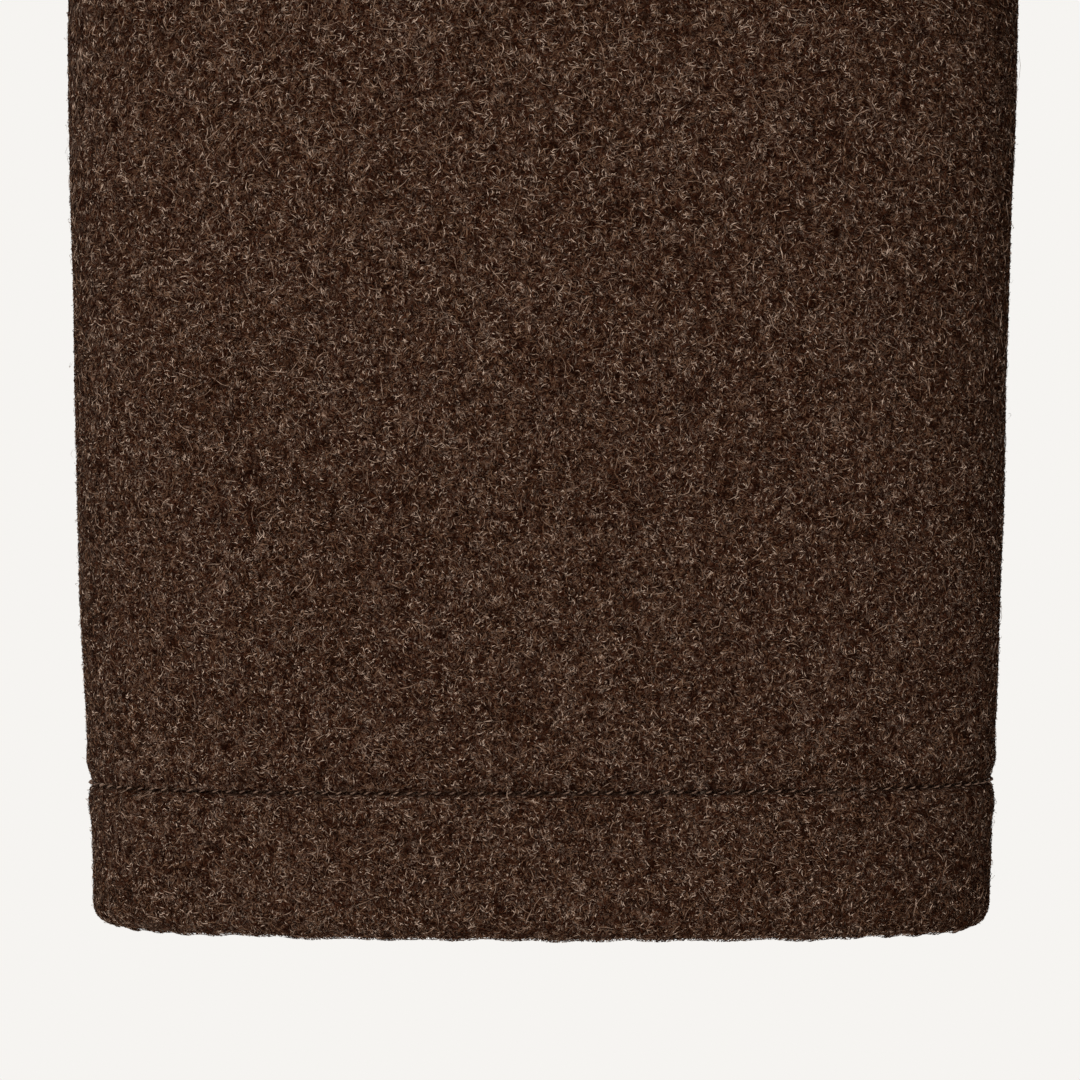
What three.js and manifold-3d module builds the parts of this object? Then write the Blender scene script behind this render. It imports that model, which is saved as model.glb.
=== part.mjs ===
// A plain single-breasted wool coat, hollow, in the shape it takes on a general figure.
//
// Millimetres, +Z up, the front faces -Y and the wearer's left is +X. The origin is the
// middle of the neck at the height of the shoulder line's inner ends, where a wearer's
// shoulders carry the coat. The cloth is a heavy felted wool. Each panel is a wall with an
// outer face on the coat's own surface and an inner face one cloth thickness inside it.
//
// The trunk is a stack of rings from hem to neckline. "rise" is the distance up the trunk
// from the hem, and "turn" is the angle round it: 0 at centre front, 90 degrees at the
// wearer's left side and 180 at centre back.

import * as THREE from "three";
import Module from "manifold-3d";

// ---------------------------------------------------------------- driving sizes
const CLOTH = 2.5; // one layer of the wool
const DOUBLED = 2 * CLOTH; // the wall where an edge is folded back inside
const COLLAR_WALL = 4; // top collar and under collar together
const SEAM_GAP = 0.3; // between two pieces at a seam

const BACK_LENGTH = 950; // nape to hem
const NAPE_RISE = 12; // nape above the shoulder line's inner ends
const HEM_Z = NAPE_RISE - BACK_LENGTH;
const ARMPIT_Z = -250;
const SHOULDER_HALF = 228; // centre to the shoulder point
const SHOULDER_Z = -48; // height of the shoulder point
const NECK_HALF = 80;
const FRONT_NECK_DROP = 88;

const BODY_HEM = 40; // depth of the trunk's turned-up hem
const SLEEVE_HEM = 24; // depth of the sleeve's turned-up hem
const OVERLAP = 30; // how far each front runs past centre front
const FOLD_BACK = 64; // from centre front to where the folded-back front edge ends inside
const FOLD_STEP = 3; // width over which a doubled wall becomes a single one
const FRONT_LIFT = DOUBLED + 0.5; // the upper front lies this far outside the lower one
const LIFT_FADE = 75; // and comes back to the trunk's surface over this width
const LIFT_CLEAR = 2; // past the edge of the front beneath

const ARMHOLE_FORE = 22; // degrees the armhole reaches forward of the side seam
const ARMHOLE_AFT = 21; // and behind it

const FORE_SEAM = 150; // where the sleeve's two seams start, in degrees round the armhole
const HIND_SEAM = 255;
const SEAM_TURN = 45; // how far both seams turn towards the back on their way to the wrist
const SEAM_CAP = 0.4; // the part of that way that lies in the sleeve's cap

const SLEEVE_DROP = 640; // shoulder line to the sleeve's edge
const CUFF_HALF = 72.2; // half the width of the flattened sleeve end
const CUFF_DEEP = 23; // half its thickness

const COLLAR_END = 5; // from centre front to each end of the collar, at the neckline
const COLLAR_POINT = 50; // from centre front to each collar point
const ROLL_RADIUS = 6; // of the wall's middle, where the collar turns over
const STAND = { front: 21, back: 37 }; // the collar's height before it turns over
const STAND_RISE = 1.6; // how soon, from the front, the collar takes its full height
const STAND_LEAN = 0.12; // how far the stand leans in, for each millimetre of height
const COVER = { front: 70, back: 30 }; // how far below the neckline its outer edge lies
const COVER_FADE = 2.2; // how soon it comes up to the back's height
const POINT_FADE = 3; // how soon the spread of the points dies away
const COLLAR_CLEAR = { front: FRONT_LIFT + 1, back: 1.2 }; // under the fall

const BUTTON_RADIUS = 13.5;
const BUTTON_THICK = 4.5;
const BUTTON_HOLE = 1.1; // radius of each of its four holes
const BUTTON_HOLE_OFFSET = 2.9; // of each hole, both ways from the button's middle
const BUTTON_COUNT = 4;
const TOP_BUTTON_DROP = 40; // below the neckline, along centre front
const BUTTON_PITCH = 120;
const BUTTON_SEAT = 0.4; // clearance under the button

// ---------------------------------------------------------------- tables
// One row for each ring of the trunk: its height at centre front, side and centre back,
// its half width, and its depth in front of and behind the shoulder line.
const TRUNK_RINGS = [
  { name: "hem", front: HEM_Z, side: HEM_Z, back: HEM_Z, half: 217, fore: 158, aft: 163 },
  { name: "thigh", front: -760, side: -760, back: -760, half: 212, fore: 156, aft: 161 },
  { name: "hip", front: -560, side: -560, back: -560, half: 206, fore: 153, aft: 158 },
  { name: "waist", front: -400, side: -400, back: -400, half: 201, fore: 155, aft: 146 },
  { name: "armpit", front: -250, side: ARMPIT_Z, back: -250, half: 199, fore: 160, aft: 147 },
  { name: "chest", front: -212, side: -194, back: -202, half: 200, fore: 158, aft: 147 },
  { name: "blade", front: -180, side: -134, back: -150, half: 207, fore: 151, aft: 143 },
  { name: "tip", front: -149, side: SHOULDER_Z, back: -92, half: SHOULDER_HALF, fore: 136, aft: 129 },
  { name: "shoulder", front: -118, side: -22, back: -36, half: 152, fore: 112, aft: 102 },
  { name: "neck", front: -FRONT_NECK_DROP, side: 0, back: NAPE_RISE, half: NECK_HALF, fore: 82, aft: 62 },
];

// How square each ring is (2 is an ellipse), and the share by which it is pinched between
// front and side, where the shoulder point stands out past the chest and the back.
const RING_FORMS = {
  hem: { square: 2.25, pinch: 0 },
  thigh: { square: 2.25, pinch: 0 },
  hip: { square: 2.25, pinch: 0 },
  waist: { square: 2.3, pinch: 0 },
  armpit: { square: 2.3, pinch: 0 },
  chest: { square: 2.3, pinch: 0.01 },
  blade: { square: 2.25, pinch: 0.05 },
  tip: { square: 2.2, pinch: 0.13 },
  shoulder: { square: 2.1, pinch: 0.03 },
  neck: { square: 2, pinch: 0 },
};

// One row for each soft fold of the skirt: where it runs, how wide it is, how far it
// stands out (or in) at the hem, and the height where it fades away.
const SKIRT_FOLDS = [
  { turn: 42, width: 13, depth: 6, top: -430 },
  { turn: 64, width: 10, depth: -5, top: -470 },
  { turn: 84, width: 9, depth: 4, top: -560 },
  { turn: 113, width: 12, depth: -5, top: -400 },
  { turn: 136, width: 13, depth: 7, top: -330 },
  { turn: 161, width: 12, depth: -4, top: -480 },
  { turn: -44, width: 12, depth: 5, top: -460 },
  { turn: -69, width: 11, depth: -5, top: -440 },
  { turn: -92, width: 9, depth: 3, top: -600 },
  { turn: -119, width: 13, depth: -4, top: -420 },
  { turn: -142, width: 14, depth: 7, top: -350 },
  { turn: -168, width: 11, depth: -4, top: -520 },
];

// One row for each ring of the sleeve below its cap: where its middle lies, its half width
// and half thickness, and how square it is (2 is an ellipse).
const SLEEVE_RINGS = [
  { name: "biceps", x: 260, y: 6, z: -285, wide: 61, deep: 68, square: 2 },
  { name: "upper", x: 278, y: 8, z: -340, wide: 66.5, deep: 60, square: 2 },
  { name: "elbow", x: 298, y: 9, z: -410, wide: 73, deep: 45, square: 2.1 },
  { name: "forearm", x: 309.6, y: 3, z: -480, wide: 76.9, deep: 31, square: 2.35 },
  { name: "wrist", x: 311, y: -2, z: -550, wide: 75.2, deep: 25, square: 2.5 },
  { name: "cuff", x: 311, y: -2, z: -SLEEVE_DROP, wide: CUFF_HALF, deep: CUFF_DEEP, square: 2.5 },
];

// One row for each crease at the elbow: how far down the sleeve from the biceps ring, the
// angle round the sleeve where it is deepest, its reach round, its width and its depth.
const ELBOW_CREASES = [
  { down: 84, round: 128, reach: 70, width: 15, depth: -4.5 },
  { down: 112, round: 150, reach: 60, width: 13, depth: 3.5 },
  { down: 137, round: 120, reach: 75, width: 15, depth: -3.5 },
  { down: 100, round: 262, reach: 55, width: 20, depth: -3 },
];

// How the sleeve leaves the armhole at its top and at its bottom: outward, downward, and
// how strongly that direction holds, as a share of the distance to the biceps ring.
const CAP_START = {
  top: { out: 0.95, down: 0.3, hold: 0.62 },
  bottom: { out: 0.74, down: 0.67, hold: 0.8 },
};

// ---------------------------------------------------------------- small maths
const radians = (degrees) => (degrees * Math.PI) / 180;
const mix = (a, b, share) => a + (b - a) * share;
const clamp = (x) => Math.min(1, Math.max(0, x));
const ease = (x) => clamp(x) ** 2 * (3 - 2 * clamp(x));
const steps = (count, from = 0, to = 1) =>
  Array.from({ length: count + 1 }, (_, i) => mix(from, to, i / count));

// A smooth curve through the points (x, y).
function smoothCurve(x, y) {
  const gaps = x.slice(1).map((value, i) => value - x[i]);
  const slopes = gaps.map((gap, i) => (y[i + 1] - y[i]) / gap);
  const tangents = x.map((_, i) => {
    if (i === 0) return slopes[0];
    if (i === slopes.length) return slopes[i - 1];
    return (slopes[i - 1] * gaps[i] + slopes[i] * gaps[i - 1]) / (gaps[i] + gaps[i - 1]);
  });
  return (at) => {
    let i = 0;
    while (i < gaps.length - 1 && at > x[i + 1]) i += 1;
    const t = (at - x[i]) / gaps[i];
    const bend = gaps[i] * (tangents[i] * (t - 2 * t ** 2 + t ** 3) + tangents[i + 1] * (t ** 3 - t ** 2));
    return mix(y[i], y[i + 1], 3 * t ** 2 - 2 * t ** 3) + bend;
  };
}

// A table's columns as curves of the distance along its rows.
function curvesOf(rows, columns, along) {
  const curves = columns.map((column) => smoothCurve(along, rows.map((row) => row[column])));
  return (at) => Object.fromEntries(columns.map((column, i) => [column, curves[i](at)]));
}

// The running total of the distances between neighbouring rows.
function runningDistance(rows, distance) {
  const along = [0];
  for (let i = 1; i < rows.length; i += 1) along.push(along[i - 1] + distance(rows[i - 1], rows[i]));
  return along;
}

// The point on a cubic that leaves "from" along "leaving" and reaches "to" along "reaching".
function cubic(from, leaving, to, reaching, t) {
  const point = from.clone().multiplyScalar(2 * t ** 3 - 3 * t ** 2 + 1);
  point.addScaledVector(leaving, t ** 3 - 2 * t ** 2 + t);
  point.addScaledVector(to, 3 * t ** 2 - 2 * t ** 3);
  return point.addScaledVector(reaching, t ** 3 - t ** 2);
}

// ---------------------------------------------------------------- the trunk's surface
const ringDistance = (a, b) =>
  (Math.hypot(b.front - a.front, b.fore - a.fore) +
    Math.hypot(b.side - a.side, b.half - a.half) +
    Math.hypot(b.back - a.back, b.aft - a.aft)) /
  3;
const RING_RISES = runningDistance(TRUNK_RINGS, ringDistance);
const riseOf = (name) => RING_RISES[TRUNK_RINGS.findIndex((ring) => ring.name === name)];
const ringSizes = curvesOf(TRUNK_RINGS, ["front", "side", "back", "half", "fore", "aft"], RING_RISES);
const ringForm = curvesOf(TRUNK_RINGS.map(({ name }) => RING_FORMS[name]), ["square", "pinch"], RING_RISES);
const ringAt = (rise) => ({ ...ringSizes(rise), ...ringForm(rise) });
const ARMPIT_RISE = riseOf("armpit");
const TIP_RISE = riseOf("tip");
const NECK_RISE = riseOf("neck");
const FULL_TURN = 2 * Math.PI;
const PINCH_SHAPE = 27 / 4; // makes the pinch's full share 1, at 55 degrees from the front

// A bump that is 1 at the angle "middle", in degrees, and fades to 0 "reach" degrees off.
function bumpRound(angle, middle, reach) {
  const off = Math.abs(((angle - radians(middle) + 3 * Math.PI) % FULL_TURN) - Math.PI);
  return Math.cos(Math.min(1, off / radians(reach)) * (Math.PI / 2)) ** 2;
}

function skirtFold(turn, height) {
  const out = (fold) => fold.depth * ease((fold.top - height) / (fold.top - HEM_Z));
  return SKIRT_FOLDS.reduce((sum, fold) => sum + out(fold) * bumpRound(turn, fold.turn, fold.width), 0);
}

function trunkPoint(turn, rise) {
  const ring = ringAt(rise);
  const across = Math.sin(turn);
  const ahead = Math.cos(turn);
  const depth = ahead >= 0 ? ring.fore : ring.aft;
  const sum = (Math.abs(across) / ring.half) ** ring.square + (Math.abs(ahead) / depth) ** ring.square;
  const reach = sum ** (-1 / ring.square);
  const height = mix(ahead >= 0 ? ring.front : ring.back, ring.side, across ** 4);
  const pinched = reach * (1 - ring.pinch * PINCH_SHAPE * (across ** 2 * ahead) ** 2);
  const out = pinched + skirtFold(turn, height);
  return new THREE.Vector3(out * across, -out * ahead, height);
}

function trunkNormal(turn, rise) {
  const small = 1e-3;
  const low = Math.max(0, rise - 1);
  const high = Math.min(NECK_RISE, rise + 1);
  const round = trunkPoint(turn + small, rise).sub(trunkPoint(turn - small, rise));
  const up = trunkPoint(turn, high).sub(trunkPoint(turn, low));
  return round.cross(up).normalize();
}

// The turn at which a ring's front lies x to the wearer's left of centre front.
function turnAt(x, rise) {
  const ring = ringAt(rise);
  const ahead = ring.fore * (1 - (Math.abs(x) / ring.half) ** ring.square) ** (1 / ring.square);
  return Math.atan2(x, ahead);
}

// ---------------------------------------------------------------- seam lines
// The armhole runs round the angle "round": 0 at the shoulder point, 90 degrees at its
// front, 180 at the armpit and 270 at its back.
const ARMHOLE_STEPS = 12; // in each half of the armhole
const armholeRise = (round) => mix(ARMPIT_RISE, TIP_RISE, (1 + Math.cos(round)) / 2);
const armholeTurn = (round) =>
  Math.PI / 2 - Math.sin(round) * radians(Math.sin(round) > 0 ? ARMHOLE_FORE : ARMHOLE_AFT);

// How far the side seam, armhole and shoulder seam lie from the side line, at a rise.
function sideTurn(rise, reach) {
  const up = clamp((rise - ARMPIT_RISE) / (TIP_RISE - ARMPIT_RISE));
  return radians(reach) * Math.sqrt(1 - (2 * up - 1) ** 2);
}

// The rises of a trunk panel's rows.
const HEM_ROWS = [0, BODY_HEM, BODY_HEM + FOLD_STEP];
const SKIRT_ROWS = steps(11, BODY_HEM + FOLD_STEP, ARMPIT_RISE).slice(1, -1);
const ARMHOLE_ROWS = steps(ARMHOLE_STEPS, Math.PI, 0).map(armholeRise);
const SHOULDER_ROWS = steps(6).slice(1).map((share) => mix(TIP_RISE, NECK_RISE, share ** 1.4));
const TRUNK_ROWS = [...HEM_ROWS, ...SKIRT_ROWS, ...ARMHOLE_ROWS, ...SHOULDER_ROWS];
const ARMPIT_ROW = TRUNK_ROWS.indexOf(ARMHOLE_ROWS[0]);

// The way into the cloth at a point of the armhole, halfway between the trunk's and the
// sleeve's, and long enough to keep both walls near their thickness.
function armholeInward(side, round) {
  const small = 0.01;
  const along = armholePoint(side, round + small).sub(armholePoint(side, round - small));
  const outside = along.cross(capStart(side, round)).normalize().multiplyScalar(side);
  const both = outside.add(trunkNormal(side * armholeTurn(round), armholeRise(round)));
  const half = Math.max(both.length() / 2, 0.67);
  return both.normalize().multiplyScalar(-CLOTH / half);
}

function armholePoint(side, round) {
  return trunkPoint(side * armholeTurn(round), armholeRise(round));
}

function capStart(side, round) {
  const share = (1 + Math.cos(round)) / 2;
  const out = mix(CAP_START.bottom.out, CAP_START.top.out, share);
  const down = mix(CAP_START.bottom.down, CAP_START.top.down, share);
  return new THREE.Vector3(side * out, 0, -down).normalize();
}

// ---------------------------------------------------------------- walls
// A wall between an outer grid of points and the same grid moved by "inward". Rows run
// along the first index. Each quad is split along its shorter diagonal.
function wallGeometry(outer, inward) {
  const rows = outer.length;
  const columns = outer[0].length;
  const positions = [];
  const index = [];
  outer.forEach((row) => row.forEach((point) => positions.push(...point.toArray())));
  outer.forEach((row, j) =>
    row.forEach((point, i) => positions.push(...point.clone().add(inward[j][i]).toArray())),
  );
  const at = (j, i, inside) => inside * rows * columns + j * columns + i;
  const corner = (i) => new THREE.Vector3().fromArray(positions, 3 * i);
  const quad = (a, b, c, d) => {
    const straight = corner(a).distanceTo(corner(c)) <= corner(b).distanceTo(corner(d));
    index.push(...(straight ? [a, b, c, a, c, d] : [a, b, d, b, c, d]));
  };
  const last = columns - 1;
  for (let j = 0; j < rows - 1; j += 1) {
    for (let i = 0; i < last; i += 1) {
      quad(at(j, i, 0), at(j, i + 1, 0), at(j + 1, i + 1, 0), at(j + 1, i, 0));
      quad(at(j, i, 1), at(j + 1, i, 1), at(j + 1, i + 1, 1), at(j, i + 1, 1));
    }
    quad(at(j, 0, 0), at(j + 1, 0, 0), at(j + 1, 0, 1), at(j, 0, 1));
    quad(at(j, last, 0), at(j, last, 1), at(j + 1, last, 1), at(j + 1, last, 0));
  }
  for (let i = 0; i < last; i += 1) {
    quad(at(0, i, 0), at(0, i, 1), at(0, i + 1, 1), at(0, i + 1, 0));
    quad(at(rows - 1, i, 0), at(rows - 1, i + 1, 0), at(rows - 1, i + 1, 1), at(rows - 1, i, 1));
  }
  if (signedVolume(positions, index) < 0) index.reverse();
  const geometry = new THREE.BufferGeometry();
  geometry.setAttribute("position", new THREE.Float32BufferAttribute(positions, 3));
  geometry.setIndex(index);
  geometry.computeVertexNormals();
  return geometry;
}

function signedVolume(positions, index) {
  const corner = (i) => new THREE.Vector3().fromArray(positions, 3 * index[i]);
  let volume = 0;
  for (let i = 0; i < index.length; i += 3) volume += corner(i).dot(corner(i + 1).cross(corner(i + 2)));
  return volume / 6;
}

// Moves the points of a seam line off the seam's faces by half the seam gap, to one side.
function openSeam(points, inward, direction) {
  const faceFrom = (i, j) => {
    if (j < 0 || j >= points.length) return null;
    const along = points[j].clone().sub(points[i]);
    return along.multiplyScalar(Math.sign(j - i)).cross(inward[i]).normalize();
  };
  const moves = points.map((_, i) => {
    const before = faceFrom(i, i - 1) ?? faceFrom(i, i + 1);
    const after = faceFrom(i, i + 1) ?? before;
    const width = Math.max(0.5, 1 + before.dot(after));
    return before.clone().add(after).multiplyScalar((direction * SEAM_GAP) / 2 / width);
  });
  points.forEach((point, i) => point.add(moves[i]));
}

// ---------------------------------------------------------------- trunk panels
const trunkWall = (rise, beside) => (rise <= BODY_HEM || beside <= FOLD_BACK ? DOUBLED : CLOTH);

// A trunk panel. "turnsOfRow" gives a row's columns, "beside" how far a point lies from
// centre front, and "lift" how far it lies outside the trunk's surface.
function trunkGrid(turnsOfRow, beside, lift) {
  const outer = [];
  const inward = [];
  for (const rise of TRUNK_ROWS) {
    const turns = turnsOfRow(rise);
    const normals = turns.map((turn) => trunkNormal(turn, rise));
    const points = turns.map((turn) => trunkPoint(turn, rise));
    const walls = points.map((point) => trunkWall(rise, beside(point)));
    outer.push(points.map((point, i) => point.clone().addScaledVector(normals[i], lift(point, rise))));
    inward.push(normals.map((normal, i) => normal.clone().multiplyScalar(-walls[i])));
  }
  return { outer, inward };
}

// Gives a panel's edge column the armhole's own way into the cloth, and opens the seam.
function finishSide({ outer, inward }, column, side, half, direction) {
  ARMHOLE_ROWS.forEach((_, k) => {
    const round = mix(Math.PI, 0, k / ARMHOLE_STEPS) * half;
    inward[ARMPIT_ROW + k][column] = armholeInward(side, round);
  });
  openSeam(
    outer.map((row) => row[column]),
    inward.map((row) => row[column]),
    direction,
  );
}

// The columns of a front, from its edge to the side seam, armhole or shoulder seam.
function frontTurns(rise) {
  const middle = (OVERLAP + FOLD_BACK) / 2;
  const besides = [-OVERLAP, -COLLAR_END, COLLAR_END, OVERLAP, middle, FOLD_BACK, FOLD_BACK + FOLD_STEP];
  const turns = besides.map((x) => turnAt(x, rise));
  return [...turns, ...steps(6, turns.at(-1), Math.PI / 2 - sideTurn(rise, ARMHOLE_FORE)).slice(1)];
}

function backTurns(rise) {
  const reach = sideTurn(rise, ARMHOLE_AFT);
  return steps(18, Math.PI / 2 + reach, 1.5 * Math.PI - reach);
}

// How far a front lies outside the trunk's surface: the left one lies on top of the right.
function frontLift(side, rise, x) {
  const start = OVERLAP + LIFT_CLEAR;
  const room = trunkPoint(frontTurns(rise).at(-1), rise).x - start;
  return side > 0 ? FRONT_LIFT * (1 - ease((x - start) / Math.min(LIFT_FADE, room))) : 0;
}

// side is 1 for the wearer's left front, which lies on top, and -1 for the right one.
function frontGeometry(side) {
  const turnsOfRow = (rise) => frontTurns(rise).map((turn) => side * turn);
  const lift = (point, rise) => frontLift(side, rise, point.x);
  const grid = trunkGrid(turnsOfRow, ({ x }) => side * x - 0.01, lift);
  finishSide(grid, grid.outer[0].length - 1, side, 1, side);
  return wallGeometry(grid.outer, grid.inward);
}

function backGeometry() {
  const grid = trunkGrid(backTurns, () => Infinity, () => 0);
  finishSide(grid, 0, 1, -1, -1);
  finishSide(grid, grid.outer[0].length - 1, -1, -1, 1);
  return wallGeometry(grid.outer, grid.inward);
}

// ---------------------------------------------------------------- sleeves
const middleDistance = (a, b) => Math.hypot(b.x - a.x, b.y - a.y, b.z - a.z);
const SLEEVE_ALONG = runningDistance(SLEEVE_RINGS, middleDistance);
const SLEEVE_LENGTH = SLEEVE_ALONG.at(-1);
const sleeveAt = curvesOf(SLEEVE_RINGS, ["x", "y", "z", "wide", "deep", "square"], SLEEVE_ALONG);
const sleeveMiddle = (side, along) => {
  const ring = sleeveAt(along);
  return new THREE.Vector3(side * ring.x, ring.y, ring.z);
};

function elbowCrease(along, round) {
  const out = ({ down, width, depth }) => depth * Math.exp(-(((along - down) / width) ** 2));
  const share = (crease) => bumpRound(round, crease.round, crease.reach);
  return ELBOW_CREASES.reduce((sum, crease) => sum + out(crease) * share(crease), 0);
}

function sleeveTube(side, round, along) {
  const ring = sleeveAt(along);
  const below = sleeveMiddle(side, Math.min(along + 1, SLEEVE_LENGTH));
  const down = below.sub(sleeveMiddle(side, along - 1)).normalize();
  const out = new THREE.Vector3(0, side, 0).cross(down).normalize().negate();
  const front = down.clone().cross(out).multiplyScalar(side);
  const point = sleeveMiddle(side, along);
  const crease = elbowCrease(along, round);
  const sum = Math.abs(Math.cos(round)) ** ring.square + Math.abs(Math.sin(round)) ** ring.square;
  const reach = sum ** (-1 / ring.square);
  point.addScaledVector(out, reach * (ring.wide + crease) * Math.cos(round));
  return point.addScaledVector(front, reach * (ring.deep + crease) * Math.sin(round));
}

// The cap: from the armhole (share 0) to the biceps ring (share 1).
function sleeveCap(side, round, share) {
  const from = armholePoint(side, round);
  const to = sleeveTube(side, round, 0);
  const distance = from.distanceTo(to);
  const hold = mix(CAP_START.bottom.hold, CAP_START.top.hold, (1 + Math.cos(round)) / 2);
  const leaving = capStart(side, round).multiplyScalar(hold * distance);
  const reaching = sleeveTube(side, round, 1).sub(to).multiplyScalar(distance);
  return cubic(from, leaving, to, reaching, share);
}

// The sleeve's surface: rows below 1 are the share down the cap, and the rows from 1 on
// are 1 more than the distance down the sleeve from the biceps ring.
const SLEEVE_HEM_TOP = SLEEVE_LENGTH - SLEEVE_HEM;
const CREASED = 208; // the creases end this far down the sleeve
const CAP_ROWS = [0, 0.06, 0.16, 0.28, 0.42, 0.56, 0.7, 0.85];
const TUBE_ROWS = [...steps(13, 0, CREASED), ...steps(3, CREASED, SLEEVE_HEM_TOP - FOLD_STEP).slice(1)];
const HEM_ENDS = [SLEEVE_HEM_TOP, SLEEVE_LENGTH];
const SLEEVE_ROWS = [...CAP_ROWS, ...[...TUBE_ROWS, ...HEM_ENDS].map((along) => along + 1)];

const sleevePoint = (side, round, row) =>
  row < 1 ? sleeveCap(side, round, row) : sleeveTube(side, round, row - 1);

function sleeveNormal(side, round, row) {
  const small = 1e-3;
  const [above, under] = row <= 1 ? [row - small, row] : [Math.max(1, row - 0.5), row + 0.5];
  const about = sleevePoint(side, round + small, row).sub(sleevePoint(side, round - small, row));
  const down = sleevePoint(side, round, under).sub(sleevePoint(side, round, above));
  return about.cross(down).normalize().multiplyScalar(side);
}

// How far the sleeve's columns have turned towards the back at a row.
function seamTurn(row) {
  const way = row < 1 ? SEAM_CAP * row : mix(SEAM_CAP, 1, (row - 1) / CREASED);
  return radians(SEAM_TURN) * ease(way);
}

// A panel of the sleeve between two seams, given in degrees round the armhole.
function sleeveGeometry(side, first, last) {
  const rounds = steps(((last - first) / 180) * ARMHOLE_STEPS, radians(first), radians(last));
  const wall = (row) => (row > SLEEVE_HEM_TOP ? DOUBLED : CLOTH);
  const wayIn = (row, round) =>
    row === 0 ? armholeInward(side, round) : sleeveNormal(side, round, row).multiplyScalar(-wall(row));
  const grid = (at) => SLEEVE_ROWS.map((row) => rounds.map((round) => at(row, round + seamTurn(row))));
  const outer = grid((row, round) => sleevePoint(side, round, row));
  const inward = grid(wayIn);
  const column = (rows, i) => rows.map((row) => row.at(i));
  openSeam(outer[0], inward[0], side);
  openSeam(column(outer, 0), column(inward, 0), -side);
  openSeam(column(outer, -1), column(inward, -1), side);
  return wallGeometry(outer, inward);
}

// ---------------------------------------------------------------- collar
// The collar runs from "turn" just left of centre front, over the back, to just right of
// it. "over" runs from the neckline up the stand (0 to 1), over the roll (1 to 2) and down
// the fall (2 to 3). All these points are in the middle of the collar's wall.
const COLLAR_FIRST = turnAt(COLLAR_END, NECK_RISE);

function collarNeckline(turn) {
  const normal = trunkNormal(turn, NECK_RISE);
  const point = trunkPoint(turn, NECK_RISE);
  const up = point.clone().sub(trunkPoint(turn, NECK_RISE - 1)).normalize();
  const lift = frontLift(turn < Math.PI / 2 ? 1 : -1, NECK_RISE, point.x);
  point.addScaledVector(normal, lift - COLLAR_WALL / 2);
  return { normal, point: point.addScaledVector(up, SEAM_GAP) };
}

function collarPoint(turn, over) {
  const side = turn < Math.PI ? 1 : -1;
  const fromFront = side > 0 ? turn : FULL_TURN - turn;
  const share = (fromFront - COLLAR_FIRST) / (Math.PI - COLLAR_FIRST);
  const foot = collarNeckline(turn).point;
  const out = new THREE.Vector3(Math.sin(turn), -Math.cos(turn), 0);
  const up = new THREE.Vector3(0, 0, 1).addScaledVector(out, -STAND_LEAN).normalize();
  const top = foot.clone().addScaledVector(up, mix(STAND.front, STAND.back, ease(share * STAND_RISE)));
  if (over <= 1) return foot.lerp(top, over);
  const roll = Math.min(over - 1, 1) * Math.PI;
  const start = top.addScaledVector(out, ROLL_RADIUS * (1 - Math.cos(roll)));
  start.addScaledVector(up, ROLL_RADIUS * Math.sin(roll));
  if (over <= 2) return start;
  const edgeRise = NECK_RISE - mix(COVER.back, COVER.front, (1 - share) ** COVER_FADE);
  const pointShift = turnAt(COLLAR_POINT, edgeRise) - COLLAR_FIRST;
  const edgeTurn = turn + side * pointShift * (1 - share) ** POINT_FADE;
  const normal = trunkNormal(edgeTurn, edgeRise);
  const clear = mix(COLLAR_CLEAR.front, COLLAR_CLEAR.back, ease(share * STAND_RISE));
  const edge = trunkPoint(edgeTurn, edgeRise).addScaledVector(normal, clear + COLLAR_WALL / 2);
  const downTrunk = trunkPoint(edgeTurn, edgeRise - 1).sub(trunkPoint(edgeTurn, edgeRise + 1)).normalize();
  const length = start.distanceTo(edge);
  const along = new THREE.Vector3(Math.cos(turn), Math.sin(turn), 0);
  const spread = along.clone().multiplyScalar(edge.clone().sub(start).dot(along));
  const leaving = up.multiplyScalar(-length).add(spread);
  return cubic(start, leaving, edge, downTrunk.multiplyScalar(length).add(spread), over - 2);
}

function collarNormal(turn, over) {
  if (over === 0) return collarNeckline(turn).normal;
  const small = 1e-3;
  const at = Math.min(FULL_TURN - COLLAR_FIRST - small, Math.max(COLLAR_FIRST + small, turn));
  const about = collarPoint(at + small, over).sub(collarPoint(at - small, over));
  const onward = collarPoint(at, Math.min(3, over + small)).sub(collarPoint(at, over - small));
  return about.cross(onward).normalize();
}

function collarGeometry() {
  const half = [...frontTurns(NECK_RISE).slice(2), ...backTurns(NECK_RISE).slice(1, 10)];
  const turns = [...half, ...half.slice(0, -1).reverse().map((turn) => FULL_TURN - turn)];
  const overs = [...steps(2, 0, 1), ...steps(4, 1, 2).slice(1), ...steps(5, 2, 3).slice(1)];
  const normals = overs.map((over) => turns.map((turn) => collarNormal(turn, over)));
  const outer = overs.map((over, j) =>
    turns.map((turn, i) => collarPoint(turn, over).addScaledVector(normals[j][i], COLLAR_WALL / 2)),
  );
  const inward = normals.map((row) => row.map((normal) => normal.multiplyScalar(-COLLAR_WALL)));
  return wallGeometry(outer, inward);
}

// ---------------------------------------------------------------- buttons
const wasm = await Module();
wasm.setup();

function solidOf(geometry) {
  const triVerts = new Uint32Array(geometry.index.array);
  const vertProperties = new Float32Array(geometry.attributes.position.array);
  const mesh = new wasm.Mesh({ numProp: 3, vertProperties, triVerts });
  mesh.merge();
  return new wasm.Manifold(mesh);
}

function geometryOf(solid) {
  const mesh = solid.getMesh();
  const geometry = new THREE.BufferGeometry();
  geometry.setAttribute("position", new THREE.Float32BufferAttribute(mesh.vertProperties, 3));
  geometry.setIndex(Array.from(mesh.triVerts));
  geometry.computeVertexNormals();
  return geometry;
}

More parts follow.
